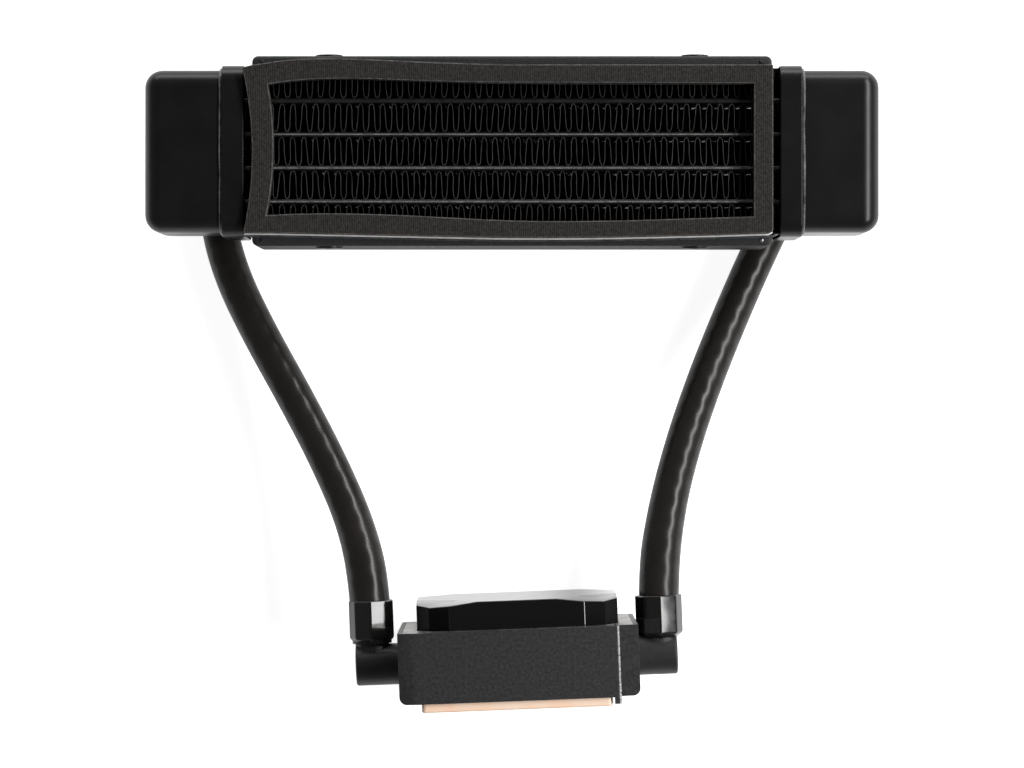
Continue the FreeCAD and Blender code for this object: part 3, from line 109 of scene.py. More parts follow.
def emboss(finish, value, depth, strength=1.0):
    """Raises the surface by a height in metres where the value is high."""
    nodes, links = finish.node_tree.nodes, finish.node_tree.links
    bump = nodes.new("ShaderNodeBump")
    bump.inputs["Distance"].default_value = depth
    bump.inputs["Strength"].default_value = strength
    shader = nodes["Principled BSDF"]
    if shader.inputs["Normal"].is_linked:
        links.new(shader.inputs["Normal"].links[0].from_socket, bump.inputs["Normal"])
    links.new(value, bump.inputs["Height"])
    links.new(bump.outputs["Normal"], shader.inputs["Normal"])


def add_piece(name, shape, finish, body, slot, *replaced, sharp=35.0):
    """Makes an object of a mesh that was shaped in its place, smooth except at sharp edges."""
    for face in shape.faces:
        face.smooth = True
    for edge in shape.edges:
        edge.smooth = len(edge.link_faces) == 2 and edge.calc_face_angle() < math.radians(sharp)
    mesh = bpy.data.meshes.new(name)
    shape.to_mesh(mesh)
    shape.free()
    mesh.materials.append(finish)
    piece = bpy.data.objects.new(name, mesh)
    bpy.context.collection.objects.link(piece)
    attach(piece, body)
    if replaced:
        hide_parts(*replaced)
    return piece


def even_shading(piece):
    """Keeps flat faces flat where they run into round edges."""
    weights = piece.modifiers.new("even_shading", "WEIGHTED_NORMAL")
    weights.keep_sharp = True


def box_shape(low, high):
    """A mesh that is a box between two corners."""
    shape = bmesh.new()
    bmesh.ops.create_cube(shape, size=1.0)
    bmesh.ops.scale(shape, verts=shape.verts, vec=Vector(high) - Vector(low))
    bmesh.ops.translate(shape, verts=shape.verts, vec=(Vector(low) + Vector(high)) / 2)
    return shape


def bevel_edges(shape, edges, width, segments):
    """Rounds some edges of a mesh and gives back the faces of the rounds."""
    rounded = bmesh.ops.bevel(
        shape, geom=edges, offset=width, offset_type="OFFSET", segments=segments,
        profile=0.5, affect="EDGES", clamp_overlap=True, material=-1,
    )
    return rounded["faces"]


tank_paint = paint("satin_tank_paint", (0.0045, 0.0045, 0.005), 0.30, 0.3)
vary_gloss(tank_paint, spots(tank_paint, 45.0), 0.27, 0.33)
vary_colour(tank_paint, spots(tank_paint, 120.0), (0.004, 0.004, 0.0045), (0.007, 0.0068, 0.0068))
emboss(tank_paint, spots(tank_paint, 25.0, 1.0), 0.0003)
emboss(tank_paint, spots(tank_paint, 2600.0, 2.0), 0.000005)
for name, outward in (("tank_left", -1), ("tank_right", 1)):
    low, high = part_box(name)
    tank = box_shape(low, high)
    mouth = [face for face in tank.faces if face.normal.x * outward < -0.9]
    bmesh.ops.delete(tank, geom=mouth, context="FACES_ONLY")
    closed = [edge for edge in tank.edges if not edge.is_boundary]
    bevel_edges(tank, closed, TANK_EDGE, TANK_EDGE_STEPS)
    bmesh.ops.recalc_face_normals(tank, faces=tank.faces)
    piece = add_piece(name + "_pressing", tank, tank_paint, "radiator", "painted_tank", name)
    wall = piece.modifiers.new("wall", "SOLIDIFY")
    wall.thickness = TANK_WALL
    wall.offset = -1.0
    even_shading(piece)


# Headers. Each is a pressed tray with a slot for every tube and a collar round the tank's
# mouth, dull with flux on the side towards the core. A wavy bead of shiny sealant fills the
# corner between the collar's rim and the tank.

BEAD_WIDTH = 0.0006
BEAD_HEIGHT = 0.0005
BEAD_WAVE = 0.00022
BEAD_WAVES_PER_METRE = 130.0
BEAD_CUTS = 23
BEAD_ROUND = 0.0002


def cad_shape(node):
    """A copy of a CAD piece's mesh, its loose triangles joined and its flat faces made whole."""
    shape = bmesh.new()
    shape.from_mesh(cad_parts[node].data)
    bmesh.ops.remove_doubles(shape, verts=shape.verts, dist=0.000002)
    bmesh.ops.dissolve_limit(
        shape, angle_limit=math.radians(0.5), verts=shape.verts, edges=shape.edges
    )
    return shape


def sharp_edges(shape, angle=35.0):
    """The outward corners of a mesh that are sharper than an angle."""
    return [
        edge for edge in shape.edges
        if len(edge.link_faces) == 2 and edge.calc_face_angle_signed() > math.radians(angle)
    ]


collar_paint = paint("satin_collar_paint", (0.005, 0.005, 0.0055), 0.28, 0.3)
vary_gloss(collar_paint, spots(collar_paint, 60.0), 0.25, 0.31)
vary_colour(collar_paint, spots(collar_paint, 150.0), (0.004, 0.004, 0.0045), (0.007, 0.0068, 0.0068))
emboss(collar_paint, spots(collar_paint, 70.0, 1.0), 0.0002)
emboss(collar_paint, spots(collar_paint, 2600.0, 2.0), 0.000006)
header_inside = paint("fluxed_header", (0.006, 0.006, 0.006), 0.7, 0.0)
vary_gloss(header_inside, spots(header_inside, 300.0), 0.6, 0.8)
sealant = paint("wet_sealant", (0.06, 0.06, 0.06), 0.25)
vary_gloss(sealant, spots(sealant, 700.0), 0.18, 0.36)
vary_colour(sealant, spots(sealant, 400.0), (0.03, 0.03, 0.03), (0.16, 0.16, 0.16))
emboss(sealant, spots(sealant, 900.0), 0.00004)
for side, outward in (("left", -1), ("right", 1)):
    header = cad_shape("header_" + side)
    for face in header.faces:
        face.material_index = 1 if face.normal.x * outward < -0.9 else 0
    piece = add_piece(
        "header_tray_" + side, header, collar_paint, "radiator", "painted_tank", "header_" + side
    )
    piece.data.materials.append(header_inside)
    even_shading(piece)
    header_low, header_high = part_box("header_" + side)
    tank_low, tank_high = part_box("tank_" + side)
    rim = header_high.x if outward > 0 else header_low.x
    start, end = sorted((rim, rim + outward * BEAD_WIDTH))
    bead = box_shape((start, tank_low.y, tank_low.z), (end, tank_high.y, tank_high.z))
    lengthwise = [edge for edge in bead.edges if edge.verts[0].co.x != edge.verts[1].co.x]
    bevel_edges(bead, lengthwise, TANK_EDGE, 6)
    ends = [face for face in bead.faces if abs(face.normal.x) > 0.9]
    bmesh.ops.delete(bead, geom=ends, context="FACES_ONLY")
    runs = [edge for edge in bead.edges if edge.is_boundary and edge.calc_length() > 0.01]
    bmesh.ops.subdivide_edges(bead, edges=runs, cuts=BEAD_CUTS)
    for vert in bead.verts:
        vert.co.x += BEAD_WAVE * noise.noise(vert.co * BEAD_WAVES_PER_METRE)
    bmesh.ops.recalc_face_normals(bead, faces=bead.faces)
    piece = add_piece("sealant_" + side, bead, sealant, "radiator", "rubber")
    thick = piece.modifiers.new("height", "SOLIDIFY")
    thick.thickness = BEAD_HEIGHT
    thick.offset = 1.0
    round_off = piece.modifiers.new("round", "BEVEL")
    round_off.width = BEAD_ROUND
    round_off.segments = 2
    round_off.limit_method = "ANGLE"


# Coolant tubes. Flat aluminium tubes with round narrow edges, brazed into the headers and
# black like the rest of the core. On all but the uppermost a paler grey is painted along the
# crest of the edge where it faces up: a painted highlight.

TUBE_CREST = 0.97
HIGHLIGHTED_TUBES = 3

core_black = paint("core_coating", (0.008, 0.008, 0.008), 0.30, 0.5)
vary_gloss(core_black, spots(core_black, 300.0), 0.24, 0.38)
vary_colour(core_black, spots(core_black, 500.0), (0.005, 0.005, 0.005), (0.013, 0.0125, 0.012))
emboss(core_black, spots(core_black, 1800.0, 2.0), 0.00001)
crest_highlight = paint("crest_highlight", (0.08, 0.079, 0.078), 0.35)
vary_gloss(crest_highlight, spots(crest_highlight, 300.0), 0.28, 0.42)
vary_colour(crest_highlight, spots(crest_highlight, 900.0), (0.060, 0.0595, 0.059), (0.20, 0.198, 0.195))
for number in range(1, 5):
    node = "coolant_tube_%d" % number
    tube = cad_shape(node)
    # Crest faces that point straight up or down get the paler grey, a painted highlight.
    for face in tube.faces:
        crest = abs(face.normal.z) > TUBE_CREST
        face.material_index = 1 if crest and number <= HIGHLIGHTED_TUBES else 0
    piece = add_piece("flat_tube_%d" % number, tube, core_black, "radiator", "core_metal", node)
    piece.data.materials.append(crest_highlight)
    even_shading(piece)


# Side bars. Plain flat bars that close the core. Past the end of the channel each is cut down,
# so that nothing stands up beside the header's collar.

BAR_CUT_FROM = 0.0592
BAR_CUT_HEIGHT = 0.0003
BAR_EDGE = 0.00015

core_low, core_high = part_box("fin_strip_3")
core_middle = (core_low + core_high) / 2
for side in ("top", "bottom"):
    node = "side_bar_" + side
    bar = cad_shape(node)
    inner_face = min((vert.co.y for vert in bar.verts), key=lambda y: abs(y - core_middle.y))
    outwards = math.copysign(BAR_CUT_HEIGHT, inner_face - core_middle.y)
    for vert in bar.verts:
        if abs(vert.co.x) > BAR_CUT_FROM and abs(vert.co.y - inner_face) > BAR_CUT_HEIGHT:
            vert.co.y = inner_face + outwards
    bevel_edges(bar, sharp_edges(bar), BAR_EDGE, 2)
    piece = add_piece("closing_bar_" + side, bar, core_black, "radiator", "core_metal", node)
    even_shading(piece)


# Fin strips. Thin aluminium sheet folded to and fro between the tubes. The folds are round at
# both ends, their legs lean a little and some are bent. On its way through the core each leg
# swings to one side and back, more so towards the left, which stirs the air and hides what lies
# behind.

FOLD_PITCH = 0.00257
FOLD_COLUMNS = 12
FOLD_SQUARENESS = 0.07
FOLD_BULGE = 0.85
CREST_DROP = 0.06
LEG_LEAN = 0.00024
LEG_KINK = 0.00018
FIN_SHEET = 0.00012
SWING = 0.00090
MORE_SWING_LEFT = 4.5
SWING_ROWS = [-1.0, -1.0, 1.0, 1.0, 0.0, 0.0]
SWING_DEPTHS = [0.0, 0.22, 0.42, 0.6, 0.8, 1.0]
fin_black = paint("fin_coating", (0.008, 0.0075, 0.007), 0.6, 0.22)
vary_gloss(fin_black, spots(fin_black, 350.0), 0.5, 0.7)
vary_colour(fin_black, spots(fin_black, 420.0), (0.005, 0.0048, 0.0044), (0.011, 0.0105, 0.0098))
slats = fin_black.node_tree.nodes.new("ShaderNodeTexWave")
slats.bands_direction = "Z"
slats.inputs["Scale"].default_value = 300.0
fin_place = fin_black.node_tree.nodes.new("ShaderNodeTexCoord")
fin_black.node_tree.links.new(fin_place.outputs["Object"], slats.inputs["Vector"])
emboss(fin_black, slats.outputs["Fac"], 0.0002)
# The sheet's rim gets a lighter grey than its faces: partly the bare metal of the cut edge, partly a
# painted highlight where the edges catch the light.
fin_rim_bare_and_highlight = paint("fin_rim_bare_and_highlight", (0.040, 0.039, 0.038), 0.40, 0.5)
vary_gloss(fin_rim_bare_and_highlight, spots(fin_rim_bare_and_highlight, 350.0), 0.25, 0.5)
vary_colour(fin_rim_bare_and_highlight, spots(fin_rim_bare_and_highlight, 420.0), (0.022, 0.0215, 0.021), (0.065, 0.063, 0.061))


def fold_point(turn, level, low, high, row):
    """The place on a fin strip after some turns of its fold, on one of its rows in depth."""
    bend = math.tau * turn
    reach = (high.y - low.y - FIN_SHEET) / 2
    fold = math.floor(turn * 2)
    height = (math.sin(bend) + FOLD_SQUARENESS * math.sin(3 * bend)) / (1 - FOLD_SQUARENESS)
    height *= 1 - CREST_DROP * abs(noise.noise(Vector((fold * 0.53, row * 5.3, 0.0))))
    lean = LEG_LEAN * noise.noise(Vector((turn * 0.23, row * 9.1, 0.0)))
    kink = LEG_KINK * noise.noise(Vector((turn * 1.9, row * 3.7, height * 1.2)))
    along = FOLD_PITCH * (turn - FOLD_BULGE * math.sin(2 * bend) / (2 * math.tau))
    swing = SWING * (1 + MORE_SWING_LEFT * max(0.0, (low.x + high.x) / 2 - low.x - along))
    place = low.x + FIN_SHEET + along + lean * height + kink + swing * SWING_ROWS[level]
    return Vector((
        min(max(place, low.x + FIN_SHEET), high.x - FIN_SHEET),
        (low.y + high.y) / 2 + reach * height,
        low.z + (high.z - low.z) * SWING_DEPTHS[level],
    ))


for row in range(1, 6):
    node = "fin_strip_%d" % row
    low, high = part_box(node)
    low.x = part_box("header_left")[1].x
    high.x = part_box("header_right")[0].x
    folds = (high.x - low.x - 2 * FIN_SHEET) / FOLD_PITCH
    levels = len(SWING_ROWS) - 1
    strip = bmesh.new()
    columns = round(folds * FOLD_COLUMNS)
    bmesh.ops.create_grid(strip, x_segments=columns, y_segments=levels, size=0.5)
    for vert in strip.verts:
        turn = (vert.co.x + 0.5) * folds
        level = round((vert.co.y + 0.5) * levels)
        vert.co = fold_point(turn, level, low, high, row)
    bmesh.ops.recalc_face_normals(strip, faces=strip.faces)
    piece = add_piece(
        "folded_fins_%d" % row, strip, fin_black, "radiator", "core_metal", node, sharp=70.0
    )
    sheet = piece.modifiers.new("sheet", "SOLIDIFY")
    sheet.thickness = FIN_SHEET
    sheet.offset = 0.0
    sheet.material_offset_rim = 1
    piece.data.materials.append(fin_rim_bare_and_highlight)


# Side channels. Folded aluminium sheet with a fine-grained powder coat, round at their ends.
# They clip over the side bars and carry the threaded inserts.

powder_black = paint("powder_coat", (0.020, 0.020, 0.0205), 0.6, 0.25)
vary_colour(powder_black, spots(powder_black, 2200.0), (0.014, 0.014, 0.0145), (0.030, 0.030, 0.031))
vary_gloss(powder_black, spots(powder_black, 900.0), 0.52, 0.68)
emboss(powder_black, spots(powder_black, 1700.0, 2.0), 0.00005)
for side in ("top", "bottom"):
    node = "side_channel_" + side
    piece = add_piece(
        "folded_channel_" + side, cad_shape(node), powder_black, "radiator", "powder_coat", node
    )
    even_shading(piece)


# Threaded inserts, pressed into the channels, and the small rivets that fix the ends of the
# channels. Both are plated steel. The inserts are blackened and three of the rivets coated with
# the channels; the fourth, at the right end of the lower channel, is bright steel.

dark_steel = paint("blackened_steel", (0.035, 0.035, 0.037), 0.35, 0.5, 1.0)
vary_gloss(dark_steel, spots(dark_steel, 900.0), 0.28, 0.5)
piece = add_piece(
    "pressed_inserts", cad_shape("channel_inserts"), dark_steel, "radiator", "plated_steel_dark",
    "channel_inserts",
)
even_shading(piece)
bright_steel = paint("bright_steel", (0.45, 0.45, 0.46), 0.25, 0.5, 1.0)
vary_gloss(bright_steel, spots(bright_steel, 2500.0), 0.18, 0.4)
rivets = cad_shape("end_rivets")
# The rivet at the right end of the lower channel gets bright steel, the others the powder coat.
for face in rivets.faces:
    middle = face.calc_center_median()
    face.material_index = 0 if middle.x > 0 and middle.y < core_middle.y else 1
piece = add_piece("channel_rivets", rivets, bright_steel, "radiator", "plated_steel", "end_rivets")
piece.data.materials.append(powder_black)
even_shading(piece)


# Foam gasket, cut from a sheet of ribbed foam with a knife, which leaves its edges paler. It
# seals the fans to the core, and tape holds it down, whose pale edge shows along the bottom.

RIB_PITCH = 0.0005
CUT_ROUND = 0.00025
TAPE_LINE_SHOWS = 0.00032
TAPE_LINE_HEIGHT = 0.00012
TAPE_LINE_LIFT = 0.00002
TAPE_LINE_WIDTH = 0.0032
STRAIGHT_FROM = -0.0095
STRAIGHT_RISE = 0.0008
CUT_BELOW = 0.0022
CORNERS_FROM = -0.0565
CORNER_REACH = 0.0007
foam = paint("ribbed_foam", (0.026, 0.0240, 0.0223), 0.9, 0.15)
vary_colour(foam, spots(foam, 1400.0, 4.0), (0.016, 0.0147, 0.0138), (0.035, 0.0323, 0.0300))
foam_nodes, foam_links = foam.node_tree.nodes, foam.node_tree.links
foam_place = foam_nodes.new("ShaderNodeTexCoord")
ribs = foam_nodes.new("ShaderNodeTexWave")
ribs.bands_direction = "X"
ribs.inputs["Scale"].default_value = math.tau / (20.0 * RIB_PITCH)
ribs.inputs["Distortion"].default_value = 2.5
ribs.inputs["Detail"].default_value = 2.0
ribs.inputs["Detail Scale"].default_value = 1.5
foam_links.new(foam_place.outputs["Object"], ribs.inputs["Vector"])
emboss(foam, ribs.outputs["Fac"], 0.00007)
emboss(foam, spots(foam, 2200.0, 3.0), 0.00022)
cut_edge = paint("cut_foam_edge", (0.065, 0.061, 0.057), 0.8, 0.2)
vary_colour(cut_edge, spots(cut_edge, 900.0, 4.0), (0.035, 0.0325, 0.0305), (0.105, 0.099, 0.093))
emboss(cut_edge, spots(cut_edge, 2600.0, 3.0), 0.00012)
bar_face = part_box("side_bar_top")[0].y


def recut(shape):
    """Straightens the upper edge on the right and draws the left corners out to the collar."""
    for vert in shape.verts:
        if vert.co.x > STRAIGHT_FROM and vert.co.y > bar_face - CUT_BELOW:
            vert.co.y = bar_face + STRAIGHT_RISE
        if vert.co.x < CORNERS_FROM:
            share = (vert.co.y - core_middle.y) / (bar_face - core_middle.y)
            vert.co.x -= CORNER_REACH * share * share
    return shape


gasket = recut(cad_shape("foam_gasket"))
for face in bevel_edges(gasket, sharp_edges(gasket, 50.0), CUT_ROUND, 2):
    face.material_index = 1
piece = add_piece("cut_foam", gasket, foam, "radiator", "foam", "foam_gasket")
piece.data.materials.append(cut_edge)
even_shading(piece)
tape = paint("pale_tape", (0.80, 0.79, 0.76), 0.35)
vary_gloss(tape, spots(tape, 700.0), 0.25, 0.45)
vary_colour(tape, spots(tape, 300.0), (0.66, 0.65, 0.62), (0.90, 0.89, 0.87))
film = paint("grey_film", (0.055, 0.056, 0.060), 0.3)
vary_gloss(film, spots(film, 400.0), 0.22, 0.38)
vary_colour(film, spots(film, 250.0), (0.035, 0.036, 0.040), (0.085, 0.087, 0.092))
backing = recut(cad_shape("gasket_tape"))
piece = add_piece("gasket_backing", backing, film, "radiator", "tape", "gasket_tape")
foam_low, foam_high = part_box("foam_gasket")
edge_line = recut(cad_shape("foam_gasket"))
bmesh.ops.bisect_plane(
    edge_line, geom=edge_line.verts[:] + edge_line.edges[:] + edge_line.faces[:],
    plane_co=(0.0, foam_low.y + TAPE_LINE_WIDTH, 0.0), plane_no=(0.0, 1.0, 0.0), clear_outer=True,
)
cut = [edge for edge in edge_line.edges if edge.is_boundary]
bmesh.ops.holes_fill(edge_line, edges=cut)
above = [vert for vert in edge_line.verts if vert.co.z > foam_low.z + 0.0001]
flatten = (0.0, 0.0, foam_low.z + TAPE_LINE_HEIGHT - foam_high.z)
bmesh.ops.translate(edge_line, verts=above, vec=flatten)
bmesh.ops.translate(edge_line, verts=edge_line.verts, vec=(0.0, -TAPE_LINE_SHOWS, TAPE_LINE_LIFT))
add_piece("tape_edge", edge_line, tape, "radiator", "tape")


# Hoses. Smooth black rubber over a braid, which shows through as faint beads. Each end is
# pushed over a barb, which swells it, and held by a crimped sleeve.

HOSE_RADIUS = 0.0043
HOSE_SWELL = [1.0, 1.0, 1.0, 1.0, 1.0, 1.0, 1.02, 1.12, 1.06]
LEFT_HOSE = [
    (-70.71, 52.74, 5.75),
    (-70.0, 39.26, 5.75),
    (-66.4, 25.5, 7.5),
    (-59.3, 11.3, 10.5),
    (-51.1, -3.0, 14.1),
    (-43.1, -17.8, 18.0),
    (-36.3, -32.9, 21.2),
    (-32.99, -47.05, 23.0),
    (-32.47, -60.55, 23.0),
]
RIGHT_HOSE = [
    (68.72, 53.21, 5.75),
    (63.23, 40.88, 5.75),
    (56.6, 27.1, 7.4),
    (50.6, 13.5, 10.2),
    (45.0, -0.1, 13.8),
    (40.1, -13.9, 17.4),
    (36.2, -28.2, 20.7),
    (33.77, -44.49, 23.0),
    (34.28, -57.98, 23.0),
]
LEFT_HOSE_LENGTH = 0.1229
RIGHT_HOSE_LENGTH = 0.1194
BRAID_TURNS = 46.0
BRAID_STRANDS = 8.0
rubber = paint("hose_rubber", (0.016, 0.0138, 0.0124), 0.27, 0.30)
vary_gloss(rubber, spots(rubber, 120.0), 0.24, 0.31)
vary_colour(rubber, spots(rubber, 60.0), (0.0135, 0.0117, 0.0105), (0.0185, 0.0159, 0.0143))
rubber_nodes, rubber_links = rubber.node_tree.nodes, rubber.node_tree.links
hose_place = rubber_nodes.new("ShaderNodeTexCoord")
for lay in (1.0, -1.0):
    run = rubber_nodes.new("ShaderNodeMapping")
    run.inputs["Scale"].default_value = (BRAID_TURNS, lay * BRAID_STRANDS, 0.0)
    strands = rubber_nodes.new("ShaderNodeTexWave")
    strands.bands_direction = "DIAGONAL"
    strands.inputs["Scale"].default_value = math.tau / 20.0
    rubber_links.new(hose_place.outputs["UV"], run.inputs["Vector"])
    rubber_links.new(run.outputs["Vector"], strands.inputs["Vector"])
    emboss(rubber, strands.outputs["Fac"], 0.00004)
for name, route, length in (
    ("hose_left", LEFT_HOSE, LEFT_HOSE_LENGTH),
    ("hose_right", RIGHT_HOSE, RIGHT_HOSE_LENGTH),
):
    curve = bpy.data.curves.new(name + "_rubber", "CURVE")
    curve.dimensions = "3D"
    line = curve.splines.new("NURBS")
    line.points.add(len(route) - 1)
    for point, (x, y, z) in zip(line.points, route):
        point.co = (x / 1000, y / 1000, z / 1000, 1.0)
    for point, swell in zip(line.points, HOSE_SWELL):
        point.radius = swell
    line.order_u = 3
    line.use_endpoint_u = True
    line.resolution_u = 16
    curve.bevel_depth = HOSE_RADIUS
    curve.bevel_resolution = 14
    curve.materials.append(rubber)
    hose = bpy.data.objects.new(name + "_rubber", curve)
    bpy.context.collection.objects.link(hose)
    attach(hose, "radiator")
    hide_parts(name)
    start = [value / 1000 for value in route[0]]


# Crimp sleeves. Short gloss black tubes with eight flats, pressed over the hose ends. The pair
# at the pump block is in plain sight and the pair at the outlets is under the radiator.

SLEEVE_FLATS = 8
LEFT_RADIUS = 0.00524
RIGHT_RADIUS = 0.00552
SLEEVE_BORE = 0.00474
SLEEVE_LENGTH = 0.0100
SLEEVE_TAPER = 0.0012
SLEEVE_TAPER_RADIUS = 0.0040
SLEEVE_LIP = 0.0003
SLEEVE_ROUND = 0.0004
LEFT_TURN = math.radians(22.0)
RIGHT_TURN = math.radians(24.0)
LEFT_SEAT = 0.0050
RIGHT_SEAT = 0.0037
LEFT_BARB = 0.0339
RIGHT_BARB = 0.0329
BLOCK_TURN = Matrix.Rotation(math.radians(2.2), 4, "Z")
BLOCK_PLACE = Matrix.Translation((0.0016, -0.06424, 0.023)) @ BLOCK_TURN
gloss = paint("gloss_sleeve", (0.008, 0.0077, 0.0073), 0.08, 0.6)
vary_gloss(gloss, spots(gloss, 300.0), 0.06, 0.12)
emboss(gloss, spots(gloss, 110.0, 1.0), 0.00010)


def turned(outline, segments):
    """A shape turned about the Y axis from its half outline of (radius, distance along)."""
    shape = bmesh.new()
    corners = [shape.verts.new((0.0, along, radius)) for radius, along in outline]
    edges = [shape.edges.new(pair) for pair in zip(corners, corners[1:] + corners[:1])]
    bmesh.ops.spin(
        shape, geom=corners + edges, cent=(0, 0, 0), axis=(0, 1, 0), angle=math.tau,
        steps=segments, use_merge=True,
    )
    bmesh.ops.remove_doubles(shape, verts=shape.verts, dist=0.000001)
    bmesh.ops.recalc_face_normals(shape, faces=shape.faces)
    return shape


def sleeve_shape(radius, turn):
    """A sleeve along Y from the origin, with a tapered seat and flats that start at a turn."""
    sleeve = turned([
        (SLEEVE_TAPER_RADIUS - SLEEVE_LIP, 0.0),
        (SLEEVE_TAPER_RADIUS, 0.0),
        (radius, SLEEVE_TAPER),
        (radius, SLEEVE_LENGTH),
        (SLEEVE_BORE, SLEEVE_LENGTH),
        (SLEEVE_BORE, SLEEVE_TAPER),
    ], SLEEVE_FLATS)
    lean = Matrix.Rotation(turn + math.pi / SLEEVE_FLATS, 4, "Y")
    bmesh.ops.transform(sleeve, matrix=lean, verts=sleeve.verts)
    outside = [
        edge for edge in sleeve.edges
        if edge.calc_face_angle_signed() > 0.3
        and max(vert.co.xz.length for vert in edge.verts) > radius - 0.0001
    ]
    bevel_edges(sleeve, outside, SLEEVE_ROUND, 3)
    return sleeve


def heading(start, end):
    """A turn and shift that lay the Y axis from one point towards another."""
    start, end = Vector(start) / 1000, Vector(end) / 1000
    turn = (end - start).to_track_quat("Y", "Z").to_matrix().to_4x4()
    return Matrix.Translation(start) @ turn


for side, barb, seat_height, radius, turn in (
    ("left", -LEFT_BARB, LEFT_SEAT, LEFT_RADIUS, LEFT_TURN),
    ("right", RIGHT_BARB, RIGHT_SEAT, RIGHT_RADIUS, RIGHT_TURN),
):
    sleeve = sleeve_shape(radius, turn)
    seat = BLOCK_PLACE @ Matrix.Translation((barb, seat_height, 0.0))
    bmesh.ops.transform(sleeve, matrix=seat, verts=sleeve.verts)
    node = "hose_sleeve_" + side
    piece = add_piece("crimp_" + node, sleeve, gloss, "radiator", "gloss_sleeve", node)
    even_shading(piece)
for side, route in (("left", LEFT_HOSE), ("right", RIGHT_HOSE)):
    sleeve = sleeve_shape(LEFT_RADIUS, 0.0)
    bmesh.ops.transform(sleeve, matrix=heading(route[0], route[1]), verts=sleeve.verts)
    node = "outlet_sleeve_" + side
    piece = add_piece("crimp_" + node, sleeve, gloss, "radiator", "gloss_sleeve", node)
    even_shading(piece)


# Elbows. Moulded black plastic. The outlet elbows stand on the backs of the tanks, and the
# swivel elbows turn in the sides of the pump block. Rubber rings seal them.

elbow_black = paint("elbow_plastic", (0.020, 0.020, 0.0205), 0.45, 0.35)
vary_gloss(elbow_black, spots(elbow_black, 200.0), 0.40, 0.50)
vary_colour(elbow_black, spots(elbow_black, 500.0), (0.017, 0.017, 0.0175), (0.024, 0.024, 0.0245))
emboss(elbow_black, spots(elbow_black, 2400.0, 2.0), 0.000006)
for node in ("swivel_elbow_left", "swivel_elbow_right", "outlet_elbow_left", "outlet_elbow_right"):
    piece = add_piece(
        "moulded_" + node, cad_shape(node), elbow_black, "radiator", "fitting_plastic", node,
        sharp=60.0,
    )
    even_shading(piece)
inner_rubber = paint("ring_rubber", (0.020, 0.020, 0.020), 0.6)
vary_gloss(inner_rubber, spots(inner_rubber, 500.0), 0.5, 0.7)


def dress(finish, *names):
    """Gives CAD pieces, which keep their shape, a finish."""
    for name in names:
        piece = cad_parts[name]
        piece.data.materials.clear()
        piece.data.materials.append(finish)


dress(inner_rubber, "swivel_rings", "cold_plate_seal", "cable_grommet")


# Pump housing. One moulding of matt black plastic with a fine spark-eroded grain. It has a step,
# its edge painted with a highlight, a small lug at one corner, and the volute and motor chamber
# inside.

HOUSING_EDGE = 0.00025
STEP_HIGHLIGHT_SPAN = (0.0222, 0.0232)
housing_black = paint("housing_plastic", (0.020, 0.020, 0.0208), 0.44, 0.5)
grain = spots(housing_black, 1500.0, 4.0)
vary_colour(housing_black, grain, (0.015, 0.015, 0.0160), (0.025, 0.025, 0.0262))
vary_gloss(housing_black, spots(housing_black, 1500.0), 0.38, 0.52)
emboss(housing_black, spots(housing_black, 2800.0, 3.0), 0.000022)
step_edge_highlight = paint("step_edge_highlight", (0.45, 0.45, 0.45), 0.5)
vary_colour(step_edge_highlight, spots(step_edge_highlight, 1900.0, 4.0), (0.05, 0.05, 0.052), (0.55, 0.55, 0.55))
vary_gloss(step_edge_highlight, spots(step_edge_highlight, 1500.0), 0.38, 0.52)
housing = cad_shape("pump_housing")
bevel_edges(housing, sharp_edges(housing, 60.0), HOUSING_EDGE, 2)
# The rounded faces of the step's edge that face up and to the right, towards the lamp, get a grainy
# pale grey: a painted highlight.
for face in housing.faces:
    middle = BLOCK_PLACE.inverted() @ face.calc_center_median()
    if STEP_HIGHLIGHT_SPAN[0] < middle.x < STEP_HIGHLIGHT_SPAN[1] and face.normal.z > 0.4 and face.normal.x > 0.4:
        face.material_index = 1
piece = add_piece(
    "housing_moulding", housing, housing_black, "pump_block", "housing_plastic", "pump_housing"
)
piece.data.materials.append(step_edge_highlight)
even_shading(piece)


# Cap. Gloss black plastic over the motor, polished like piano paint, with a cut corner at each
# end of its front edge that falls away in two small slopes.

CAP_EDGE = 0.0003
cap_gloss = paint("gloss_cap", (0.004, 0.004, 0.0045), 0.05, 0.6)
vary_gloss(cap_gloss, spots(cap_gloss, 200.0), 0.035, 0.07)
emboss(cap_gloss, spots(cap_gloss, 35.0, 1.0), 0.00003)
cap_side = paint("cap_side", (0.005, 0.005, 0.0055), 0.30, 0.02)
vary_gloss(cap_side, spots(cap_side, 200.0), 0.25, 0.35)
cap = cad_shape("pump_cap")
bevel_edges(cap, sharp_edges(cap, 12.0), CAP_EDGE, 3)
for face in cap.faces:
    face.material_index = 1 if abs(face.normal.x) > 0.5 else 0
piece = add_piece("polished_cap", cap, cap_gloss, "pump_block", "gloss_cap", "pump_cap", sharp=30.0)
piece.data.materials.append(cap_side)
even_shading(piece)


# Retention plate. Plated sheet steel let into the housing's top and held by a countersunk screw
# at each corner. Only its two ends show past the cap.

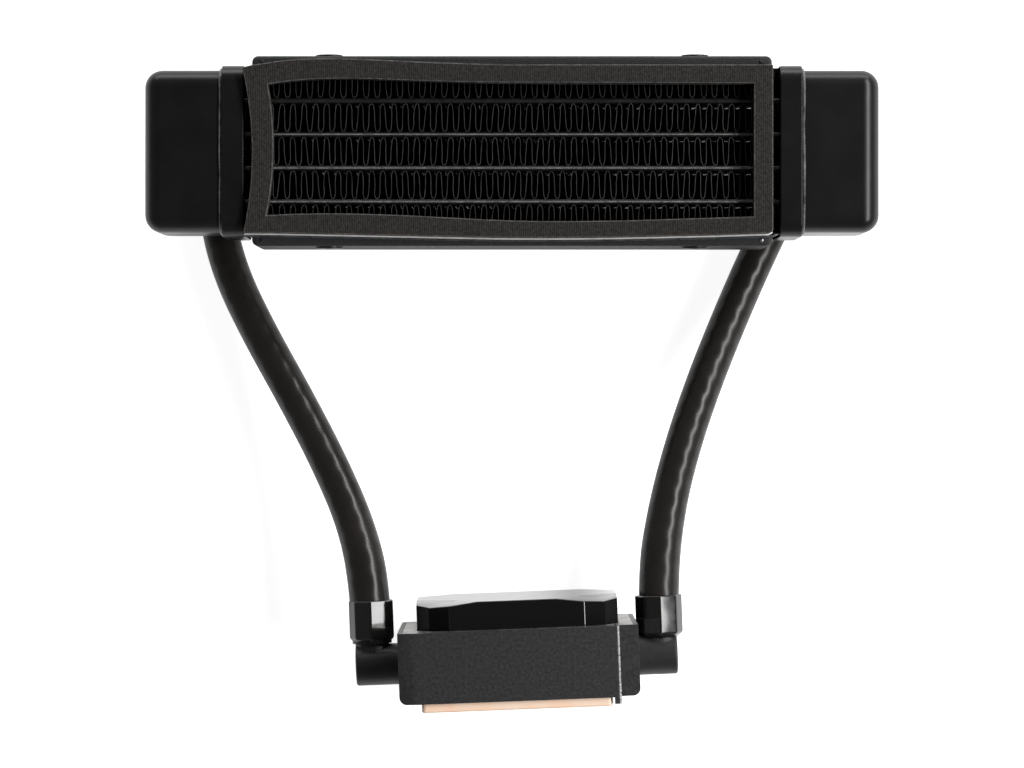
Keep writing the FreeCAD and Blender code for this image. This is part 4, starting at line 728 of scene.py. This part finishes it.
PLATE_EDGE = 0.00012
plate_steel = paint("plate_steel", (0.30, 0.29, 0.27), 0.42, 0.5, 1.0)
vary_gloss(plate_steel, spots(plate_steel, 600.0, 3.0, (1.0, 1.0, 12.0)), 0.28, 0.5)
vary_colour(plate_steel, spots(plate_steel, 260.0), (0.18, 0.165, 0.15), (0.44, 0.43, 0.41))
plate = cad_shape("retention_plate")
bevel_edges(plate, sharp_edges(plate, 50.0), PLATE_EDGE, 2)
piece = add_piece("sheet_plate", plate, plate_steel, "pump_block", "plate_metal", "retention_plate")
even_shading(piece)
for node in ("retention_screws", "cold_plate_screws"):
    piece = add_piece(
        "steel_" + node, cad_shape(node), bright_steel, "pump_block", "plated_steel", node
    )
    even_shading(piece)


# Cold plate. Machined copper, left bare, with fins cut into its inner side. Its outer face and
# edges show the mill's fine lines and a few dull spots.

copper = paint("machined_copper", (0.98, 0.70, 0.52), 0.55, 0.5, 0.08)
vary_gloss(copper, spots(copper, 420.0, 3.0, (1.0, 30.0, 30.0)), 0.44, 0.6)
vary_colour(copper, spots(copper, 170.0, 4.0), (0.98, 0.66, 0.47), (0.99, 0.77, 0.61))
emboss(copper, spots(copper, 900.0, 2.0, (20.0, 1.0, 1.0)), 0.00001)
plate = cad_shape("cold_plate")
bevel_edges(plate, sharp_edges(plate, 50.0), PLATE_EDGE, 2)
piece = add_piece("milled_cold_plate", plate, copper, "pump_block", "copper", "cold_plate")
even_shading(piece)


# Parts held inside the pump block: the jet plate, can, motor, board, shaft and impeller. They
# keep their CAD shapes, and each has its own finish.

dress(bright_steel, "pump_shaft")
stator_steel = paint("stacked_steel", (0.30, 0.30, 0.31), 0.45, 0.5, 1.0)
vary_gloss(stator_steel, spots(stator_steel, 300.0, 2.0, (1.0, 20.0, 1.0)), 0.35, 0.6)
dress(stator_steel, "stator_core")
winding = paint("enamelled_wire", (0.72, 0.30, 0.13), 0.3, 0.5, 1.0)
vary_gloss(winding, spots(winding, 1500.0), 0.22, 0.4)
dress(winding, "stator_coils")
white_plastic = paint("white_plastic", (0.62, 0.62, 0.60), 0.5)
vary_gloss(white_plastic, spots(white_plastic, 500.0), 0.4, 0.6)
dress(white_plastic, "jet_plate", "impeller")
can_plastic = paint("can_plastic", (0.08, 0.08, 0.082), 0.45)
vary_gloss(can_plastic, spots(can_plastic, 500.0), 0.38, 0.55)
dress(can_plastic, "separator_can", "rotor_bush")
magnet_grey = paint("sintered_magnet", (0.06, 0.06, 0.063), 0.55, 0.5, 0.6)
vary_gloss(magnet_grey, spots(magnet_grey, 900.0), 0.45, 0.7)
dress(magnet_grey, "rotor_magnet")
board_green = paint("board", (0.015, 0.11, 0.045), 0.4)
vary_gloss(board_green, spots(board_green, 500.0), 0.3, 0.5)
dress(board_green, "circuit_board")


# Floor, light and camera. A white floor, one long softbox high on the right, a weaker one low
# beyond the radiator, and a camera that looks straight down.

FLOOR_REACH = 3.0
FLOOR_DROP = 0.0003
FLOOR_SHOWN = 0.84
FLOOR_MIRRORED = 0.50
SKY_HEIGHTS = (0.15, 0.95)
SKY_LEVELS = (0.32, 0.08)
LAMP_PLACE = (0.75, 0.28, 0.80)
LAMP_AIM = (0.0, 0.28, 0.02)
LAMP_SIZE = (0.26, 1.7)
LAMP_POWER = 19.5
WALL_PLACE = (0.0, 1.10, 0.22)
WALL_AIM = (0.0, 0.0, 0.02)
WALL_SIZE = (1.6, 0.40)
WALL_POWER = 9.0
CAMERA_PLACE = (0.0, -0.00036, 0.937)
CAMERA_LENS = 138.3
floor_shape = bmesh.new()
bmesh.ops.create_grid(floor_shape, x_segments=1, y_segments=1, size=FLOOR_REACH)
bmesh.ops.translate(floor_shape, verts=floor_shape.verts, vec=(0.0, 0.0, -FLOOR_DROP))
floor_mesh = bpy.data.meshes.new("floor")
floor_shape.to_mesh(floor_mesh)
floor_shape.free()
floor = bpy.data.objects.new("floor", floor_mesh)
bpy.context.collection.objects.link(floor)
floor_white = paint("floor_white", (0.8, 0.8, 0.8), 0.8, 0.1)
nodes, links = floor_white.node_tree.nodes, floor_white.node_tree.links
seen = nodes.new("ShaderNodeLightPath")


def combine(kind, first, second):
    """A Math node of two values, each a socket or a number."""
    node = nodes.new("ShaderNodeMath")
    node.operation = kind
    for socket, value in zip(node.inputs, (first, second)):
        if isinstance(value, float):
            socket.default_value = value
        else:
            links.new(value, socket)
    return node.outputs[0]


mirrored = combine("MAXIMUM", seen.outputs["Is Glossy Ray"], seen.outputs["Is Transmission Ray"])
mirrored = combine("MULTIPLY", mirrored, FLOOR_MIRRORED)
direct = combine("MULTIPLY", seen.outputs["Is Camera Ray"], FLOOR_SHOWN)
glow = combine("MAXIMUM", direct, mirrored)
nodes["Principled BSDF"].inputs["Emission Color"].default_value = (1.0, 1.0, 1.0, 1.0)
links.new(glow, nodes["Principled BSDF"].inputs["Emission Strength"])
floor_mesh.materials.append(floor_white)

world = bpy.data.worlds.new("studio")
bpy.context.scene.world = world
world.use_nodes = True
sky_nodes, sky_links = world.node_tree.nodes, world.node_tree.links
sky_place = sky_nodes.new("ShaderNodeTexCoord")
sky_split = sky_nodes.new("ShaderNodeSeparateXYZ")
sky_level = sky_nodes.new("ShaderNodeMapRange")
sky_level.inputs["From Min"].default_value = SKY_HEIGHTS[0]
sky_level.inputs["From Max"].default_value = SKY_HEIGHTS[1]
sky_level.inputs["To Min"].default_value = SKY_LEVELS[0]
sky_level.inputs["To Max"].default_value = SKY_LEVELS[1]
sky_links.new(sky_place.outputs["Generated"], sky_split.inputs[0])
sky_links.new(sky_split.outputs["Z"], sky_level.inputs["Value"])
sky_seen = sky_nodes.new("ShaderNodeLightPath")
sky_shown = sky_nodes.new("ShaderNodeMath")
sky_shown.operation = "MAXIMUM"
sky_links.new(sky_level.outputs["Result"], sky_shown.inputs[0])
sky_links.new(sky_seen.outputs["Is Camera Ray"], sky_shown.inputs[1])
sky_links.new(sky_shown.outputs[0], sky_nodes["Background"].inputs["Strength"])
sky_nodes["Background"].inputs["Color"].default_value = (1.0, 1.0, 1.0, 1.0)


def softbox(name, size, power, place, aim, upright):
    """A rectangular lamp at a place, turned towards an aim with one of its axes upright."""
    lamp = bpy.data.lights.new(name, "AREA")
    lamp.shape = "RECTANGLE"
    lamp.size, lamp.size_y = size
    lamp.energy = power
    holder = bpy.data.objects.new(name, lamp)
    bpy.context.collection.objects.link(holder)
    holder.location = place
    towards = Vector(aim) - Vector(place)
    holder.rotation_euler = towards.to_track_quat("-Z", upright).to_euler()


softbox("strip_softbox", LAMP_SIZE, LAMP_POWER, LAMP_PLACE, LAMP_AIM, "X")
softbox("wall_softbox", WALL_SIZE, WALL_POWER, WALL_PLACE, WALL_AIM, "Y")

lens = bpy.data.cameras.new("camera")
lens.lens = CAMERA_LENS
lens.sensor_width = 36.0
lens.clip_start = 0.05
camera = bpy.data.objects.new("camera", lens)
bpy.context.collection.objects.link(camera)
camera.location = CAMERA_PLACE
bpy.context.scene.camera = camera
bpy.context.scene.view_settings.view_transform = "Standard"
